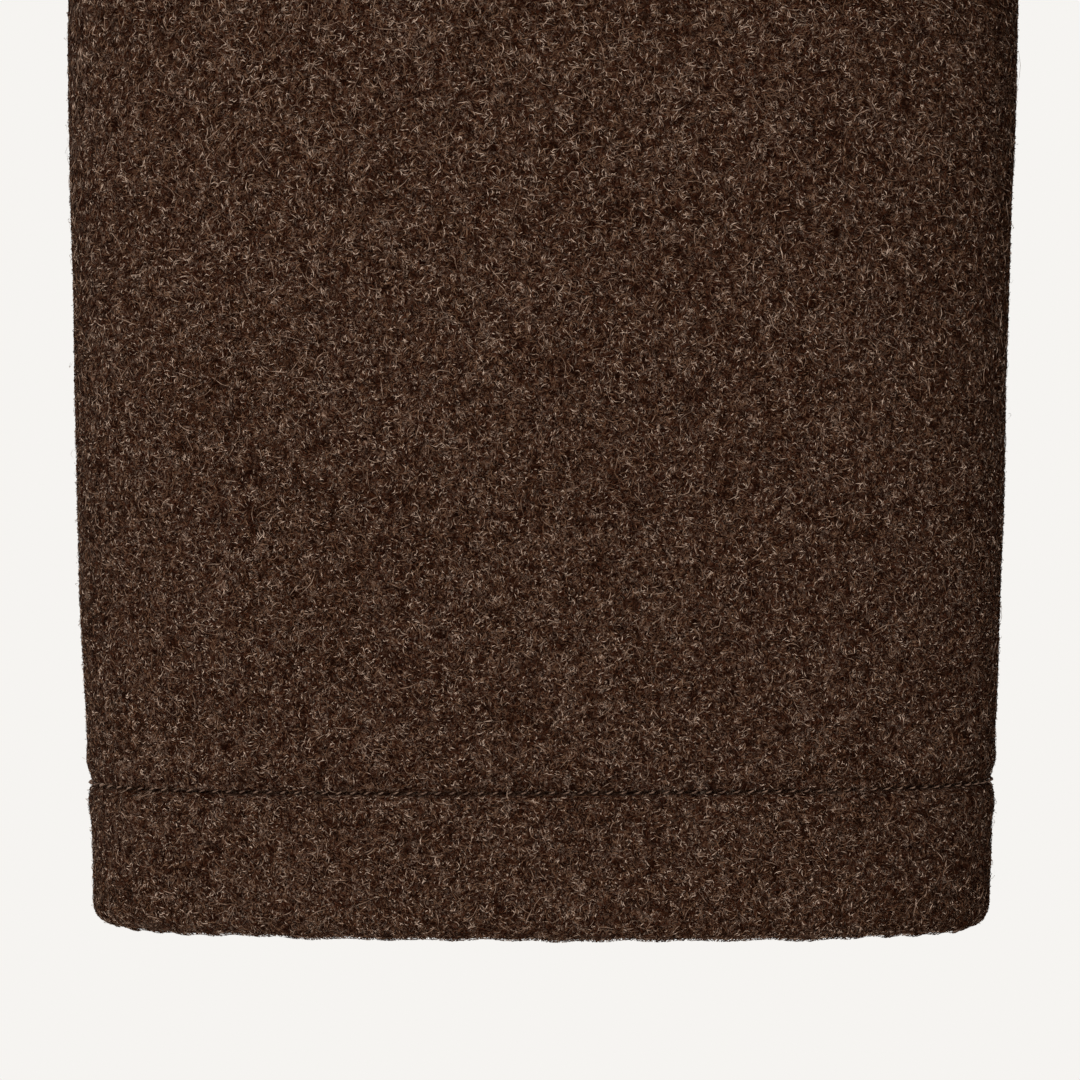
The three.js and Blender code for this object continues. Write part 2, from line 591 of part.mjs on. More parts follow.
// A round four-hole button, its back on the plane z = 0, with a raised rim and a dished
// middle.
function buttonGeometry() {
  const profile = [
    [0, 0],
    [BUTTON_RADIUS - 2.2, 0],
    [BUTTON_RADIUS - 0.5, 1],
    [BUTTON_RADIUS, 2.4],
    [BUTTON_RADIUS - 0.8, BUTTON_THICK - 0.4],
    [BUTTON_RADIUS - 2.2, BUTTON_THICK],
    [BUTTON_RADIUS - 3.8, BUTTON_THICK - 0.9],
    [BUTTON_RADIUS - 5.2, BUTTON_THICK - 1.5],
    [0, BUTTON_THICK - 1.7],
  ].map(([radius, height]) => new THREE.Vector2(radius, height));
  let solid = solidOf(new THREE.LatheGeometry(profile, 20).rotateX(Math.PI / 2));
  for (const x of [-1, 1]) {
    for (const y of [-1, 1]) {
      const hole = new THREE.CylinderGeometry(BUTTON_HOLE, BUTTON_HOLE, 4 * BUTTON_THICK, 8);
      hole.rotateX(Math.PI / 2).translate(x * BUTTON_HOLE_OFFSET, y * BUTTON_HOLE_OFFSET, 0);
      solid = solid.subtract(solidOf(hole));
    }
  }
  return geometryOf(solid);
}

// ---------------------------------------------------------------- the coat
const wool = () => new THREE.MeshStandardMaterial({ color: 0x3c281e, roughness: 0.95, metalness: 0 });
const horn = () => new THREE.MeshStandardMaterial({ color: 0x2a1a12, roughness: 0.4, metalness: 0 });

function piece(name, geometry, material) {
  const mesh = new THREE.Mesh(geometry, material);
  mesh.name = name;
  return mesh;
}

// The rise of the point that lies this far below the neckline, along centre front.
function riseBelowNeck(distance) {
  let rise = NECK_RISE;
  let walked = 0;
  while (walked < distance) {
    walked += trunkPoint(0, rise).distanceTo(trunkPoint(0, rise - 0.5));
    rise -= 0.5;
  }
  return rise;
}

function buttonRow() {
  const row = new THREE.Group();
  const shape = buttonGeometry();
  for (let i = 0; i < BUTTON_COUNT; i += 1) {
    const rise = riseBelowNeck(TOP_BUTTON_DROP + i * BUTTON_PITCH);
    const normal = trunkNormal(0, rise);
    const button = piece(`button_${i + 1}`, shape, horn());
    button.position.copy(trunkPoint(0, rise)).addScaledVector(normal, FRONT_LIFT + BUTTON_SEAT);
    button.quaternion.setFromUnitVectors(new THREE.Vector3(0, 0, 1), normal);
    row.add(button);
  }
  return row;
}

const coat = new THREE.Group();
coat.add(piece("front_left", frontGeometry(1), wool()));
coat.add(piece("front_right", frontGeometry(-1), wool()));
coat.add(piece("back", backGeometry(), wool()));
coat.add(piece("top_sleeve_left", sleeveGeometry(1, HIND_SEAM - 360, FORE_SEAM), wool()));
coat.add(piece("under_sleeve_left", sleeveGeometry(1, FORE_SEAM, HIND_SEAM), wool()));
coat.add(piece("top_sleeve_right", sleeveGeometry(-1, HIND_SEAM - 360, FORE_SEAM), wool()));
coat.add(piece("under_sleeve_right", sleeveGeometry(-1, FORE_SEAM, HIND_SEAM), wool()));
coat.add(piece("collar", collarGeometry(), wool()));
coat.add(buttonRow());

export default coat;
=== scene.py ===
import bpy
import numpy as np
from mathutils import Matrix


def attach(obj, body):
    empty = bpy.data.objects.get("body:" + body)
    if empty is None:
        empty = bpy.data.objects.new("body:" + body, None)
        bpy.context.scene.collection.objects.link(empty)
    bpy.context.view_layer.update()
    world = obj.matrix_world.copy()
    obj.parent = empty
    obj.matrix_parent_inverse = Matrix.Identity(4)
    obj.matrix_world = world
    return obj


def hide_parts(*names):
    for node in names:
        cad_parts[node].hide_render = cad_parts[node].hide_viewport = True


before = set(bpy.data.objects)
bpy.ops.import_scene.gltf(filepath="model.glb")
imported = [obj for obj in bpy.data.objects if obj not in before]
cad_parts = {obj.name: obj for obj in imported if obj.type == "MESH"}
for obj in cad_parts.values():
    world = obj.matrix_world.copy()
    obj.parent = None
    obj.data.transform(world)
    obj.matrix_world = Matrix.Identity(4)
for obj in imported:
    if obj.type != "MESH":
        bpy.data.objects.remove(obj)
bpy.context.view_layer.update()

# ------------------------------------------------------------------ back
# The back is one panel of thick wool cloth, felted until its threads disappear. It is sewn
# to the fronts and sleeves edge to edge, and its hem is turned up inside and caught with
# one row of stitching.
CLOTH = 2.5
DOUBLED = 2 * CLOTH
BODY_HEM = 40
HEM_Z = -938
CAUGHT = 1.2  # a hem's stitching lies this far below its raw edge inside
SEAM_EDGE = (1.5, 0.9)  # outer and inner rounding of a sewn edge
HEM_EDGE = (3.6, 1.3)  # of the cloth's fold at a hem
FRONT_EDGE = (3, 1.9)  # of the folded-back front edge
NEAR_EDGE = np.array([0, 0.25, 0.7, 1.3, 2.1, 3.2, 4.8, 7])

# One row for each ring of the trunk: its height at centre front, side and centre back, its
# half width, its depth before and behind the shoulder line, and how square and how pinched
# it is.
TRUNK_RINGS = np.array(
    [
        (HEM_Z, HEM_Z, HEM_Z, 217, 158, 163, 2.25, 0),  # hem
        (-760, -760, -760, 212, 156, 161, 2.25, 0),  # thigh
        (-560, -560, -560, 206, 153, 158, 2.25, 0),  # hip
        (-400, -400, -400, 201, 155, 146, 2.3, 0),  # waist
        (-250, -250, -250, 199, 160, 147, 2.3, 0),  # armpit
        (-212, -194, -202, 200, 158, 147, 2.3, 0.01),  # chest
        (-180, -134, -150, 207, 151, 143, 2.25, 0.05),  # shoulder blade
        (-149, -48, -92, 228, 136, 129, 2.2, 0.13),  # shoulder point
        (-118, -22, -36, 152, 112, 102, 2.1, 0.03),  # shoulder
        (-88, 0, 12, 80, 82, 62, 2, 0),  # neckline
    ]
)
# The skirt's soft folds: turn, reach round, depth at the hem, and the height where each
# fades away.
SKIRT_FOLDS = [
    (42, 13, 6, -430),
    (64, 10, -5, -470),
    (84, 9, 4, -560),
    (113, 12, -5, -400),
    (136, 13, 7, -330),
    (161, 12, -4, -480),
    (-44, 12, 5, -460),
    (-69, 11, -5, -440),
    (-92, 9, 3, -600),
    (-119, 13, -4, -420),
    (-142, 14, 7, -350),
    (-168, 11, -4, -520),
]
# Long soft folds that the weight of the cloth draws down: turn, reach round, depth, top.
HANGING_FOLDS = [
    (24, 8, 4.3, -430),
    (53, 8, 6.1, -330),
    (74, 8, -6.5, -300),
    (101, 9, 6.5, -290),
    (125, 8, -6.1, -330),
    (149, 9, 5.8, -240),
    (173, 8, -4.7, -300),
    (-23, 8, 4, -460),
    (-49, 9, -5.4, -360),
    (-80, 8, 6.1, -310),
    (-103, 9, -6.1, -280),
    (-128, 8, 6.5, -320),
    (-153, 9, -5.8, -250),
]
# Creases that the cloth takes in wear: turn and height of the middle, length, width, depth,
# and the slope of its line in degrees from level.
TRUNK_CREASES = [
    (59, -258, 130, 12, -7.4, 36),
    (50, -303, 150, 14, -5.8, 26),
    (39, -352, 120, 16, -3.8, 17),
    (-58, -266, 130, 12, -7.7, -34),
    (-47, -318, 150, 14, -5.4, -23),
    (-36, -374, 130, 17, -3.8, -14),
    (120, -248, 130, 13, -7.7, -41),
    (133, -299, 150, 15, -6.1, -29),
    (147, -352, 130, 17, -4.2, -16),
    (-121, -254, 130, 13, -7.2, 39),
    (-133, -307, 150, 16, -5.6, 27),
    (-149, -363, 130, 18, -4.2, 14),
    (92, -428, 150, 17, -6.1, 8),
    (85, -474, 130, 19, -4.2, -4),
    (-93, -413, 160, 16, -5.8, -9),
    (-87, -462, 140, 19, -4.2, 4),
    (160, -420, 190, 19, -4.8, 5),
    (-165, -457, 170, 18, -4.8, -7),
    (30, -556, 130, 21, -3.8, 15),
    (-32, -528, 140, 20, -4, -13),
    (64, -640, 120, 22, -3.2, -12),
    (-70, -618, 130, 21, -3.5, 10),
    (28, -212, 90, 12, -3.2, 42),
    (-30, -220, 90, 12, -3.2, -40),
    (158, -190, 120, 15, -3.5, -22),
    (-160, -205, 120, 15, -3.5, 20),
]


def ease(x):
    x = np.clip(x, 0, 1)
    return x * x * (3 - 2 * x)


def unit(vectors):
    return vectors / np.linalg.norm(vectors, axis=-1, keepdims=True)


def smooth_curve(x, y):
    gaps = np.diff(x)
    slopes = np.diff(y) / gaps
    inner = (slopes[:-1] * gaps[1:] + slopes[1:] * gaps[:-1]) / (gaps[1:] + gaps[:-1])
    tangents = np.concatenate([slopes[:1], inner, slopes[-1:]])

    def at(where):
        i = np.clip(np.searchsorted(x, where) - 1, 0, len(gaps) - 1)
        t = (where - x[i]) / gaps[i]
        bend = tangents[i] * (t - 2 * t**2 + t**3) + tangents[i + 1] * (t**3 - t**2)
        return y[i] + (y[i + 1] - y[i]) * (3 * t**2 - 2 * t**3) + gaps[i] * bend

    return at


ring_steps = np.diff(TRUNK_RINGS, axis=0)
SECTIONS = ((0, 4), (1, 3), (2, 5))  # each height's column with its depth's or width's
ring_lengths = sum(np.hypot(ring_steps[:, a], ring_steps[:, b]) for a, b in SECTIONS)
RING_RISES = np.concatenate([[0], np.cumsum(ring_lengths / 3)])
RING_CURVES = [smooth_curve(RING_RISES, column) for column in TRUNK_RINGS.T]
ARMPIT_RISE, TIP_RISE, NECK_RISE = RING_RISES[[4, 7, 9]]


def bump_round(angle, middle, reach):
    off = np.abs((angle - np.radians(middle) + 3 * np.pi) % (2 * np.pi) - np.pi)
    return np.cos(np.minimum(1, off / np.radians(reach)) * np.pi / 2) ** 2


def trunk_point(turn, rise):
    """A point of the trunk: turn is the angle from centre front, rise the way up it."""
    front, side, back, half, fore, aft, square, pinch = (curve(rise) for curve in RING_CURVES)
    across, ahead = np.sin(turn), np.cos(turn)
    depth = np.where(ahead >= 0, fore, aft)
    reach = ((np.abs(across) / half) ** square + (np.abs(ahead) / depth) ** square) ** (-1 / square)
    middle = np.where(ahead >= 0, front, back)
    height = middle + (side - middle) * across**4
    out = reach * (1 - pinch * 27 / 4 * (across**2 * ahead) ** 2)
    for middle_turn, width, fold, top in SKIRT_FOLDS:
        fallen = ease((top - height) / (top - HEM_Z))
        out = out + fold * fallen * bump_round(turn, middle_turn, width)
    return np.stack([out * across, -out * ahead, height], axis=-1)


def trunk_normal(turn, rise):
    low, high = np.maximum(0, rise - 1), np.minimum(NECK_RISE, rise + 1)
    about = trunk_point(turn + 1e-3, rise) - trunk_point(turn - 1e-3, rise)
    return unit(np.cross(about, trunk_point(turn, high) - trunk_point(turn, low)))


def turn_at(x, rise):
    """The turn at which a ring's front lies x to the wearer's left."""
    half, fore, square = RING_CURVES[3](rise), RING_CURVES[4](rise), RING_CURVES[6](rise)
    return np.arctan2(x, fore * (1 - (np.abs(x) / half) ** square) ** (1 / square))


def side_turn(rise, reach):
    """How far the side seam, armhole and shoulder seam lie from the side line."""
    up = np.clip((rise - ARMPIT_RISE) / (TIP_RISE - ARMPIT_RISE), 0, 1)
    return np.radians(reach) * np.sqrt(1 - (2 * up - 1) ** 2)


ARMHOLE_FORE, ARMHOLE_AFT = 22, 21


def armhole_point(side, around):
    """around is 0 at the shoulder point, a quarter turn at the front, half at the armpit."""
    reach = np.radians(np.where(np.sin(around) > 0, ARMHOLE_FORE, ARMHOLE_AFT))
    rise = ARMPIT_RISE + (TIP_RISE - ARMPIT_RISE) * (1 + np.cos(around)) / 2
    turn = side * (np.pi / 2 - np.sin(around) * reach)
    return trunk_point(turn, rise), trunk_normal(turn, rise)


def cap_start(side, around):
    """The way in which the sleeve leaves the armhole."""
    share = (1 + np.cos(around)) / 2
    out, down = 0.74 + 0.21 * share, 0.67 - 0.37 * share
    return unit(np.stack([side * out, 0 * out, -down], axis=-1))


def armhole_normal(side, around):
    """Halfway between the trunk's normal and the sleeve's, along the armhole."""
    along = armhole_point(side, around + 0.01)[0] - armhole_point(side, around - 0.01)[0]
    sleeve = unit(np.cross(along, cap_start(side, around))) * side
    return unit(sleeve + armhole_point(side, around)[1])


def walked(points, axis):
    """The distance walked over a grid of points, from its first row or column."""
    step = np.linalg.norm(np.diff(points, axis=axis), axis=-1)
    start = np.zeros_like(np.take(step, [0], axis))
    return np.cumsum(np.concatenate([start, step], axis), axis)


def spread(surface, first, last, rows, count):
    """Angles from first to last in each row, evenly along it and closer near both ends."""
    angles = first[:, None] + (last - first)[:, None] * np.linspace(0, 1, 241)
    along = walked(surface(angles, rows[:, None]), 1)
    far = along[:, -1:]
    middle = np.linspace(NEAR_EDGE[-1], far[:, 0] - NEAR_EDGE[-1], count, axis=1)
    near = np.repeat(NEAR_EDGE[None, :-1], len(rows), 0)
    wanted = np.concatenate([near, middle, (far - near)[:, ::-1]], axis=1)
    return np.stack([np.interp(w, a, t) for w, a, t in zip(wanted, along, angles)])


def rolled(distance, radius):
    """How far a rounded edge falls away from its face, at this distance from the edge."""
    inside = np.clip(radius - distance, 0, radius)
    return radius - np.sqrt(radius**2 - inside**2)


def linear(colour):
    parts = [int(colour[i : i + 2], 16) / 255 for i in (1, 3, 5)]
    return [*(p / 12.92 if p <= 0.04045 else ((p + 0.055) / 1.055) ** 2.4 for p in parts), 1]


def add(tree, kind, sockets=None, **settings):
    """Adds a shader node with its settings, its socket values and its links."""
    node = tree.nodes.new("ShaderNode" + kind)
    for name, value in settings.items():
        setattr(node, name, value)
    for name, value in (sockets or {}).items():
        if isinstance(value, bpy.types.NodeSocket):
            tree.links.new(value, node.inputs[name])
        else:
            node.inputs[name].default_value = value
    return node


def new_material(name, looks):
    """A material with its shader's values, and the object's own coordinates in metres."""
    material = bpy.data.materials.new(name)
    material.use_nodes = True
    tree = material.node_tree
    tree.nodes.clear()
    shader = add(tree, "BsdfPrincipled", looks)
    add(tree, "OutputMaterial", {"Surface": shader.outputs["BSDF"]})
    return material, tree, shader, add(tree, "TexCoord").outputs["Object"]


def set_ramp(ramp, stops):
    """Gives a colour ramp its stops: a place from 0 to 1 and a colour each."""
    while len(ramp.elements) < len(stops):
        ramp.elements.new(0.5)
    for element, (place, colour) in zip(ramp.elements, stops):
        element.position = place
        element.color = linear(colour)


# Felted wool: carded fibres of many browns, matted together by milling, so the eye sees a
# curly heather of fine hairs over dark gaps, and no shine. The hairs are painted in layers
# over a near-black ground, which is painted shade in the gaps between them. The layers lie
# the darkest lowest, each turned its own way. They are drawn coarser than the real
# 0.03 mm so that they show.
HAIRS = [
    # turned about X, Y and Z, length and width in metres, how broad, share laid, two colours
    ((0.3, 0.2, 0.4), 0.0028, 0.00075, 0.055, 1.2, "#190804", "#291309"),
    ((0.1, 1.1, -0.3), 0.0026, 0.00070, 0.045, 1.1, "#220e05", "#341c10"),
    ((-0.5, 2.0, 0.2), 0.0027, 0.00075, 0.035, 0.95, "#351d10", "#4b3020"),
    ((0.2, 2.8, -0.5), 0.0026, 0.00075, 0.028, 0.85, "#4e3627", "#705444"),
    ((-0.2, 0.7, 0.9), 0.0025, 0.00070, 0.024, 0.7, "#7e6757", "#b29a89"),
    ((0.6, 1.6, 0.5), 0.0023, 0.00060, 0.022, 0.9, "#28140b", "#8b7161"),
]
CURLED = 0.0022  # how far, in metres, the hairs are pushed out of line
FEWEST, MOST = 1.2, 1.6  # between these clump values a layer of share 0 fades in
looks = {"Roughness": 0.95, "Specular IOR Level": 0.02, "Sheen Weight": 0.05}
looks |= {"Sheen Roughness": 0.25, "Sheen Tint": linear("#a98a70")}
felt, tree, shader, place = new_material("felted_wool", looks)
curl = add(tree, "TexNoise", {"Vector": place, "Scale": 900, "Detail": 1, "Roughness": 0.6})
HALF = (0.5, 0.5, 0.5)
curl = add(tree, "VectorMath", {0: curl.outputs["Color"], 1: HALF}, operation="SUBTRACT")
curl = add(tree, "VectorMath", {0: curl.outputs[0], "Scale": CURLED}, operation="SCALE")
curled = add(tree, "VectorMath", {0: place, 1: curl.outputs[0]}, operation="ADD").outputs[0]
clumps = add(tree, "TexNoise", {"Vector": place, "Scale": 620, "Detail": 2, "Roughness": 0.6})
drift = add(tree, "TexNoise", {"Vector": place, "Scale": 60, "Detail": 2, "Roughness": 0.5})
drift = add(tree, "Math", {0: drift.outputs[0], 1: 0.12, 2: 0.44}, operation="MULTIPLY_ADD")
thick = add(tree, "Math", {0: clumps.outputs[0], 1: drift.outputs[0]}, operation="ADD")
# the near-black ground under the hairs: painted shade in the gaps between them
colour = add(tree, "RGB").outputs[0]
colour.default_value = linear("#0f0401")
height = None
for i, (turned, length, width, broad, share, low, high) in enumerate(HAIRS):
    shift = (0.013 * i, 0.007 * i, 0.021 * i)
    stretch = {"Location": shift, "Rotation": turned, "Scale": (length, width, width)}
    laid = add(tree, "Mapping", {"Vector": curled, **stretch}, vector_type="TEXTURE")
    noise = {"Vector": laid.outputs[0], "Scale": 1, "Detail": 1, "Roughness": 0.5}
    line = add(tree, "TexNoise", noise)
    line = add(tree, "Math", {0: line.outputs[0], 1: 0.5}, operation="SUBTRACT")
    line = add(tree, "Math", {0: line.outputs[0]}, operation="ABSOLUTE")
    edge = {"From Min": 0.35 * broad, "From Max": broad, "To Min": 1, "To Max": 0}
    line = add(tree, "MapRange", {"Value": line.outputs[0], **edge})
    within = {"From Min": FEWEST - 0.5 * share, "From Max": MOST - 0.5 * share}
    fewer = add(tree, "MapRange", {"Value": thick.outputs[0], **within})
    line = add(tree, "Math", {0: line.outputs[0], 1: fewer.outputs[0]}, operation="MULTIPLY")
    tint = add(tree, "TexNoise", {"Vector": laid.outputs[0], "Scale": 0.45, "Detail": 0})
    shade = add(tree, "ValToRGB", {"Fac": tint.outputs[0]})
    set_ramp(shade.color_ramp, [(0.35, low), (0.65, high)])
    laid_on = add(tree, "Mix", {"Factor": line.outputs[0]}, data_type="RGBA")
    tree.links.new(colour, laid_on.inputs[6])
    tree.links.new(shade.outputs[0], laid_on.inputs[7])
    colour = laid_on.outputs[2]
    layers = {0: line.outputs[0], 1: height}
    height = line.outputs[0] if height is None else add(tree, "Math", layers).outputs[0]
relief = add(tree, "Bump", {"Height": height, "Strength": 0.7, "Distance": 0.0001})
tree.links.new(colour, shader.inputs["Base Color"])
tree.links.new(relief.outputs[0], shader.inputs["Normal"])


def new_object(name, data):
    """An object of the scene that holds this mesh, lamp or camera."""
    made = bpy.data.objects.new(name, data)
    bpy.context.scene.collection.objects.link(made)
    return made


def make_piece(name, points, faces, material):
    """A piece from points in millimetres, which rides on the coat's one body."""
    mesh = bpy.data.meshes.new(name)
    mesh.from_pydata((points.reshape(-1, 3) * 0.001).tolist(), [], faces.tolist())
    mesh.shade_smooth()
    mesh.materials.append(material)
    piece = new_object(name, mesh)
    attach(piece, "root")
    return piece


def quads(a, b, c, d):
    return np.stack([a, b, c, d], axis=-1).reshape(-1, 4)


def cloth_piece(name, points, normals, wall, edges):
    """A closed wall of cloth under a grid of points. The edges are the rounding at the first
    and last row and the first and last column."""
    rows, columns = points.shape[:2]
    up, across = walked(points, 0), walked(points, 1)
    ways = (up, up[-1:] - up, across, across[:, -1:] - across)
    outer = np.max([rolled(way, edge[0]) for way, edge in zip(ways, edges)], axis=0)
    inner = np.max([rolled(way, edge[1]) for way, edge in zip(ways, edges)], axis=0)
    for way, along, edge in zip(ways, (across, across, up, up), edges):
        if edge == SEAM_EDGE:
            uneven = 1 + 0.35 * np.sin(along / 6.5) * np.sin(along / 17 + 1)
            outer = outer + 0.7 * uneven * np.exp(-((way / 3.5) ** 2))
    sunk = np.stack([outer, wall - inner])
    faces = points - normals * sunk[..., None]
    at = np.arange(2 * rows * columns).reshape(2, rows, columns)
    out, in_ = at
    quad_list = np.concatenate(
        [
            quads(out[:-1, :-1], out[:-1, 1:], out[1:, 1:], out[1:, :-1]),
            quads(in_[:-1, :-1], in_[1:, :-1], in_[1:, 1:], in_[:-1, 1:]),
            quads(out[0, :-1], in_[0, :-1], in_[0, 1:], out[0, 1:]),
            quads(out[-1, :-1], out[-1, 1:], in_[-1, 1:], in_[-1, :-1]),
            quads(out[:-1, 0], out[1:, 0], in_[1:, 0], in_[:-1, 0]),
            quads(out[:-1, -1], in_[:-1, -1], in_[1:, -1], out[1:, -1]),
        ]
    )
    spots = faces.reshape(-1, 3)
    a, b, c, d = (spots[quad_list[:, i]] for i in range(4))
    if (a * np.cross(b, c) + a * np.cross(c, d)).sum() < 0:
        quad_list = quad_list[:, ::-1]
    return make_piece(name, faces, quad_list, felt)


STITCH_RISE = BODY_HEM - CAUGHT


# How deep and wide the furrow under a row of stitching is, the hollow round it, wider
# above than below, and the swelling of the cloth beside it.
FURROW, HOLLOW, SWELL = (0.85, 0.28), (0.5, 2.2, 0.7), (0.3, 2, 3.6)


def sewn_in(distance, along):
    """How far the cloth sinks at a row of stitching, and swells beside it."""
    uneven = 1 + 0.2 * np.sin(along / 7) + 0.15 * np.sin(along / 2.6 + 1)
    slack = np.where(distance < 0, HOLLOW[1], HOLLOW[2])
    furrow = FURROW[0] * uneven * np.exp(-((distance / FURROW[1]) ** 2))
    sunk = furrow + HOLLOW[0] * np.exp(-((distance / slack) ** 2))
    deep, wide, away = SWELL
    return sunk - deep * np.exp(-(((np.abs(distance) - away) / wide) ** 2))


TRUNK_RADIUS = 175  # of an even trunk, to turn an angle into a length


def trunk_relief(turn, rise, points):
    """How far the creases and the hem's stitching push the cloth in."""
    deep = np.zeros(points.shape[:2])
    for middle, height, length, width, depth, slope in TRUNK_CREASES:
        off = (turn - np.radians(middle) + np.pi) % (2 * np.pi) - np.pi
        x, y = off * TRUNK_RADIUS, points[..., 2] - height
        cos, sin = np.cos(np.radians(slope)), np.sin(np.radians(slope))
        along = x * cos + y * sin
        beside = y * cos - x * sin + along**2 / 900
        fade = np.exp(-((along / length * 2) ** 2))
        deep += -depth * fade * np.exp(-((beside / width) ** 2))
        deep += 0.5 * depth * fade * np.exp(-(((beside - 1.7 * width) / width) ** 2))
    for middle, width, depth, top in HANGING_FOLDS:
        fallen = ease((top - points[..., 2]) / 330)
        drift = np.degrees(0.03 * np.sin(points[..., 2] / 90 + middle))
        deep -= depth * fallen * bump_round(turn + np.radians(drift), middle, width)
    wavy = 0.5 * np.sin(turn * 9 + rise / 60) * np.sin(rise / 43 + turn * 3)
    # the closing, the armholes and the neckline hold the cloth in place
    from_front = np.abs((turn + np.pi) % (2 * np.pi) - np.pi)
    beside_armhole = np.abs(from_front - np.pi / 2) - side_turn(rise, ARMHOLE_FORE)
    below_armpit = np.clip((ARMPIT_RISE - rise) / 50, 0, 1)
    free = ease((from_front - 0.16) / 0.2) * ease(beside_armhole / 0.22 + below_armpit)
    free = free * ease((NECK_RISE - rise - 60) / 60)
    return (deep + wavy) * free + sewn_in(rise - STITCH_RISE, turn * 190)


hem_rows = np.concatenate([NEAR_EDGE, [12, 20, 28, 33]])
stitch_rows = STITCH_RISE + np.array(
    [-2.8, -1.6, -0.9, -0.5, -0.2, 0, 0.2, 0.5, 0.9, 1.6, 2.8, 5, 8]
)
skirt_rows = np.linspace(STITCH_RISE + 14, ARMPIT_RISE, 72)[:-1]
armhole_share = (1 - np.cos(np.linspace(0, np.pi, 41))) / 2
armhole_rows = ARMPIT_RISE + (TIP_RISE - ARMPIT_RISE) * armhole_share
shoulder_rows = np.linspace(TIP_RISE, NECK_RISE - NEAR_EDGE[-1], 18)[1:]
TRUNK_ROWS = np.concatenate(
    [hem_rows, stitch_rows, skirt_rows, armhole_rows, shoulder_rows, NECK_RISE - NEAR_EDGE[-2::-1]]
)


def trunk_panel(name, turns, ends, edges, lift=0, beside=1e3):
    """A trunk panel. ends gives, for its last or both its side edges, the wearer's side and
    whether it lies before or behind the side line. lift is how far it lies outside."""
    rises = TRUNK_ROWS[:, None] + 0 * turns
    points, normals = trunk_point(turns, rises), trunk_normal(turns, rises)
    across = walked(points, 1)
    up = np.clip((TRUNK_ROWS - ARMPIT_RISE) / (TIP_RISE - ARMPIT_RISE), 0, 1)
    for column, side, half in ends:
        mean = armhole_normal(side, half * np.arccos(2 * up - 1))[:, None]
        far = np.abs(across - across[:, column, None])
        near = (1 - ease(far / 8)) * ((up > 0) & (up < 1))[:, None]
        normals = unit(normals * (1 - near[..., None]) + mean * near[..., None])
    deep = trunk_relief(turns, rises, points)
    folded = np.maximum(1 - ease((rises - BODY_HEM) / 3), 1 - ease((beside - FOLD_BACK) / 3))
    raised = points + normals * (lift - deep)[..., None]
    return cloth_piece(name, raised, normals, CLOTH + (DOUBLED - CLOTH) * folded, edges)


FOLD_BACK = 64
back_first = np.pi / 2 + side_turn(TRUNK_ROWS, ARMHOLE_AFT)
back_turns = spread(trunk_point, back_first, 2 * np.pi - back_first, TRUNK_ROWS, 66)
back_ends, back_edges = [(0, 1, -1), (-1, -1, -1)], (HEM_EDGE, SEAM_EDGE, SEAM_EDGE, SEAM_EDGE)
back = trunk_panel("back_panel", back_turns, back_ends, back_edges)
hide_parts("back")


# The hem's thread is a matching brown twist. Each stitch rises a little out of the furrow
# it is sunk in, so it shows as a short slanting dash between dark gaps.
looks = {"Roughness": 0.6, "Specular IOR Level": 0.3}
thread, tree, shader, place = new_material("brown_sewing_thread", looks)
ply = add(tree, "TexNoise", {"Vector": place, "Scale": 2600, "Detail": 1})
tint = add(tree, "ValToRGB", {"Fac": ply.outputs[0]})
set_ramp(tint.color_ramp, [(0.3, "#3a2317"), (0.7, "#7a6150")])
tree.links.new(tint.outputs[0], shader.inputs["Base Color"])
STITCH_PITCH = 2.2
STITCH_LENGTH = 1.2
THREAD = 0.14  # radius


def tubes(name, paths, ups, radii, material, sides=5):
    """Round tubes along a set of paths, all with the same radii along them."""
    ahead = unit(np.gradient(paths, axis=1))
    beside = unit(np.cross(ahead, ups))
    above = np.cross(beside, ahead)
    angles = np.arange(sides) * 2 * np.pi / sides
    cos, sin = np.cos(angles)[:, None], np.sin(angles)[:, None]
    ring = beside[:, :, None] * cos + above[:, :, None] * sin
    points = paths[:, :, None] + ring * np.reshape(radii, (1, -1, 1, 1))
    count, steps = paths.shape[:2]
    at = np.arange(count * steps * sides).reshape(count, steps, sides)
    after = np.roll(at, -1, axis=2)
    faces = quads(at[:, :-1], at[:, 1:], after[:, 1:], after[:, :-1])
    return make_piece(name, points, faces, material)


def stitch_row(name, points, normals):
    """Short stitches along a line of points, each one arching up out of the cloth."""
    along = walked(points[None], 1)[0]
    middles = np.arange(STITCH_PITCH / 2, along[-1] - STITCH_PITCH / 2, STITCH_PITCH)
    share = np.linspace(-0.5, 0.5, 5)
    wanted = middles[:, None] + share * STITCH_LENGTH
    path = np.stack([np.interp(wanted, along, points[:, i]) for i in range(3)], axis=-1)
    up = unit(np.stack([np.interp(wanted, along, normals[:, i]) for i in range(3)], axis=-1))
    down_cloth = unit(np.cross(up, np.gradient(path, axis=1)))
    height = 0.85 * np.cos(share * np.pi) - 1
    path = path + up * height[:, None] + down_cloth * (0.16 + share * 0.5)[:, None]
    return tubes(name, path, up, THREAD * np.array([0.4, 0.95, 1, 0.95, 0.4]), thread)


line = np.linspace(back_first[0] + 0.01, 2 * np.pi - back_first[0] - 0.01, 400)
row = STITCH_RISE + 0 * line
stitch_row("back_hem_stitches", trunk_point(line, row), trunk_normal(line, row))

# ------------------------------------------------------------------ fronts
# Two panels of the same cloth, with their front edges folded back inside. The left one
# lies over the right one, 60 mm wide, and is lifted off the trunk's surface by the two
# layers under it.
OVERLAP = 30
FRONT_LIFT = DOUBLED + 0.5


def front_lift(side, x, last_x):
    start = OVERLAP + 2
    return FRONT_LIFT * (1 - ease((x - start) / np.minimum(75, last_x - start))) * (side > 0)


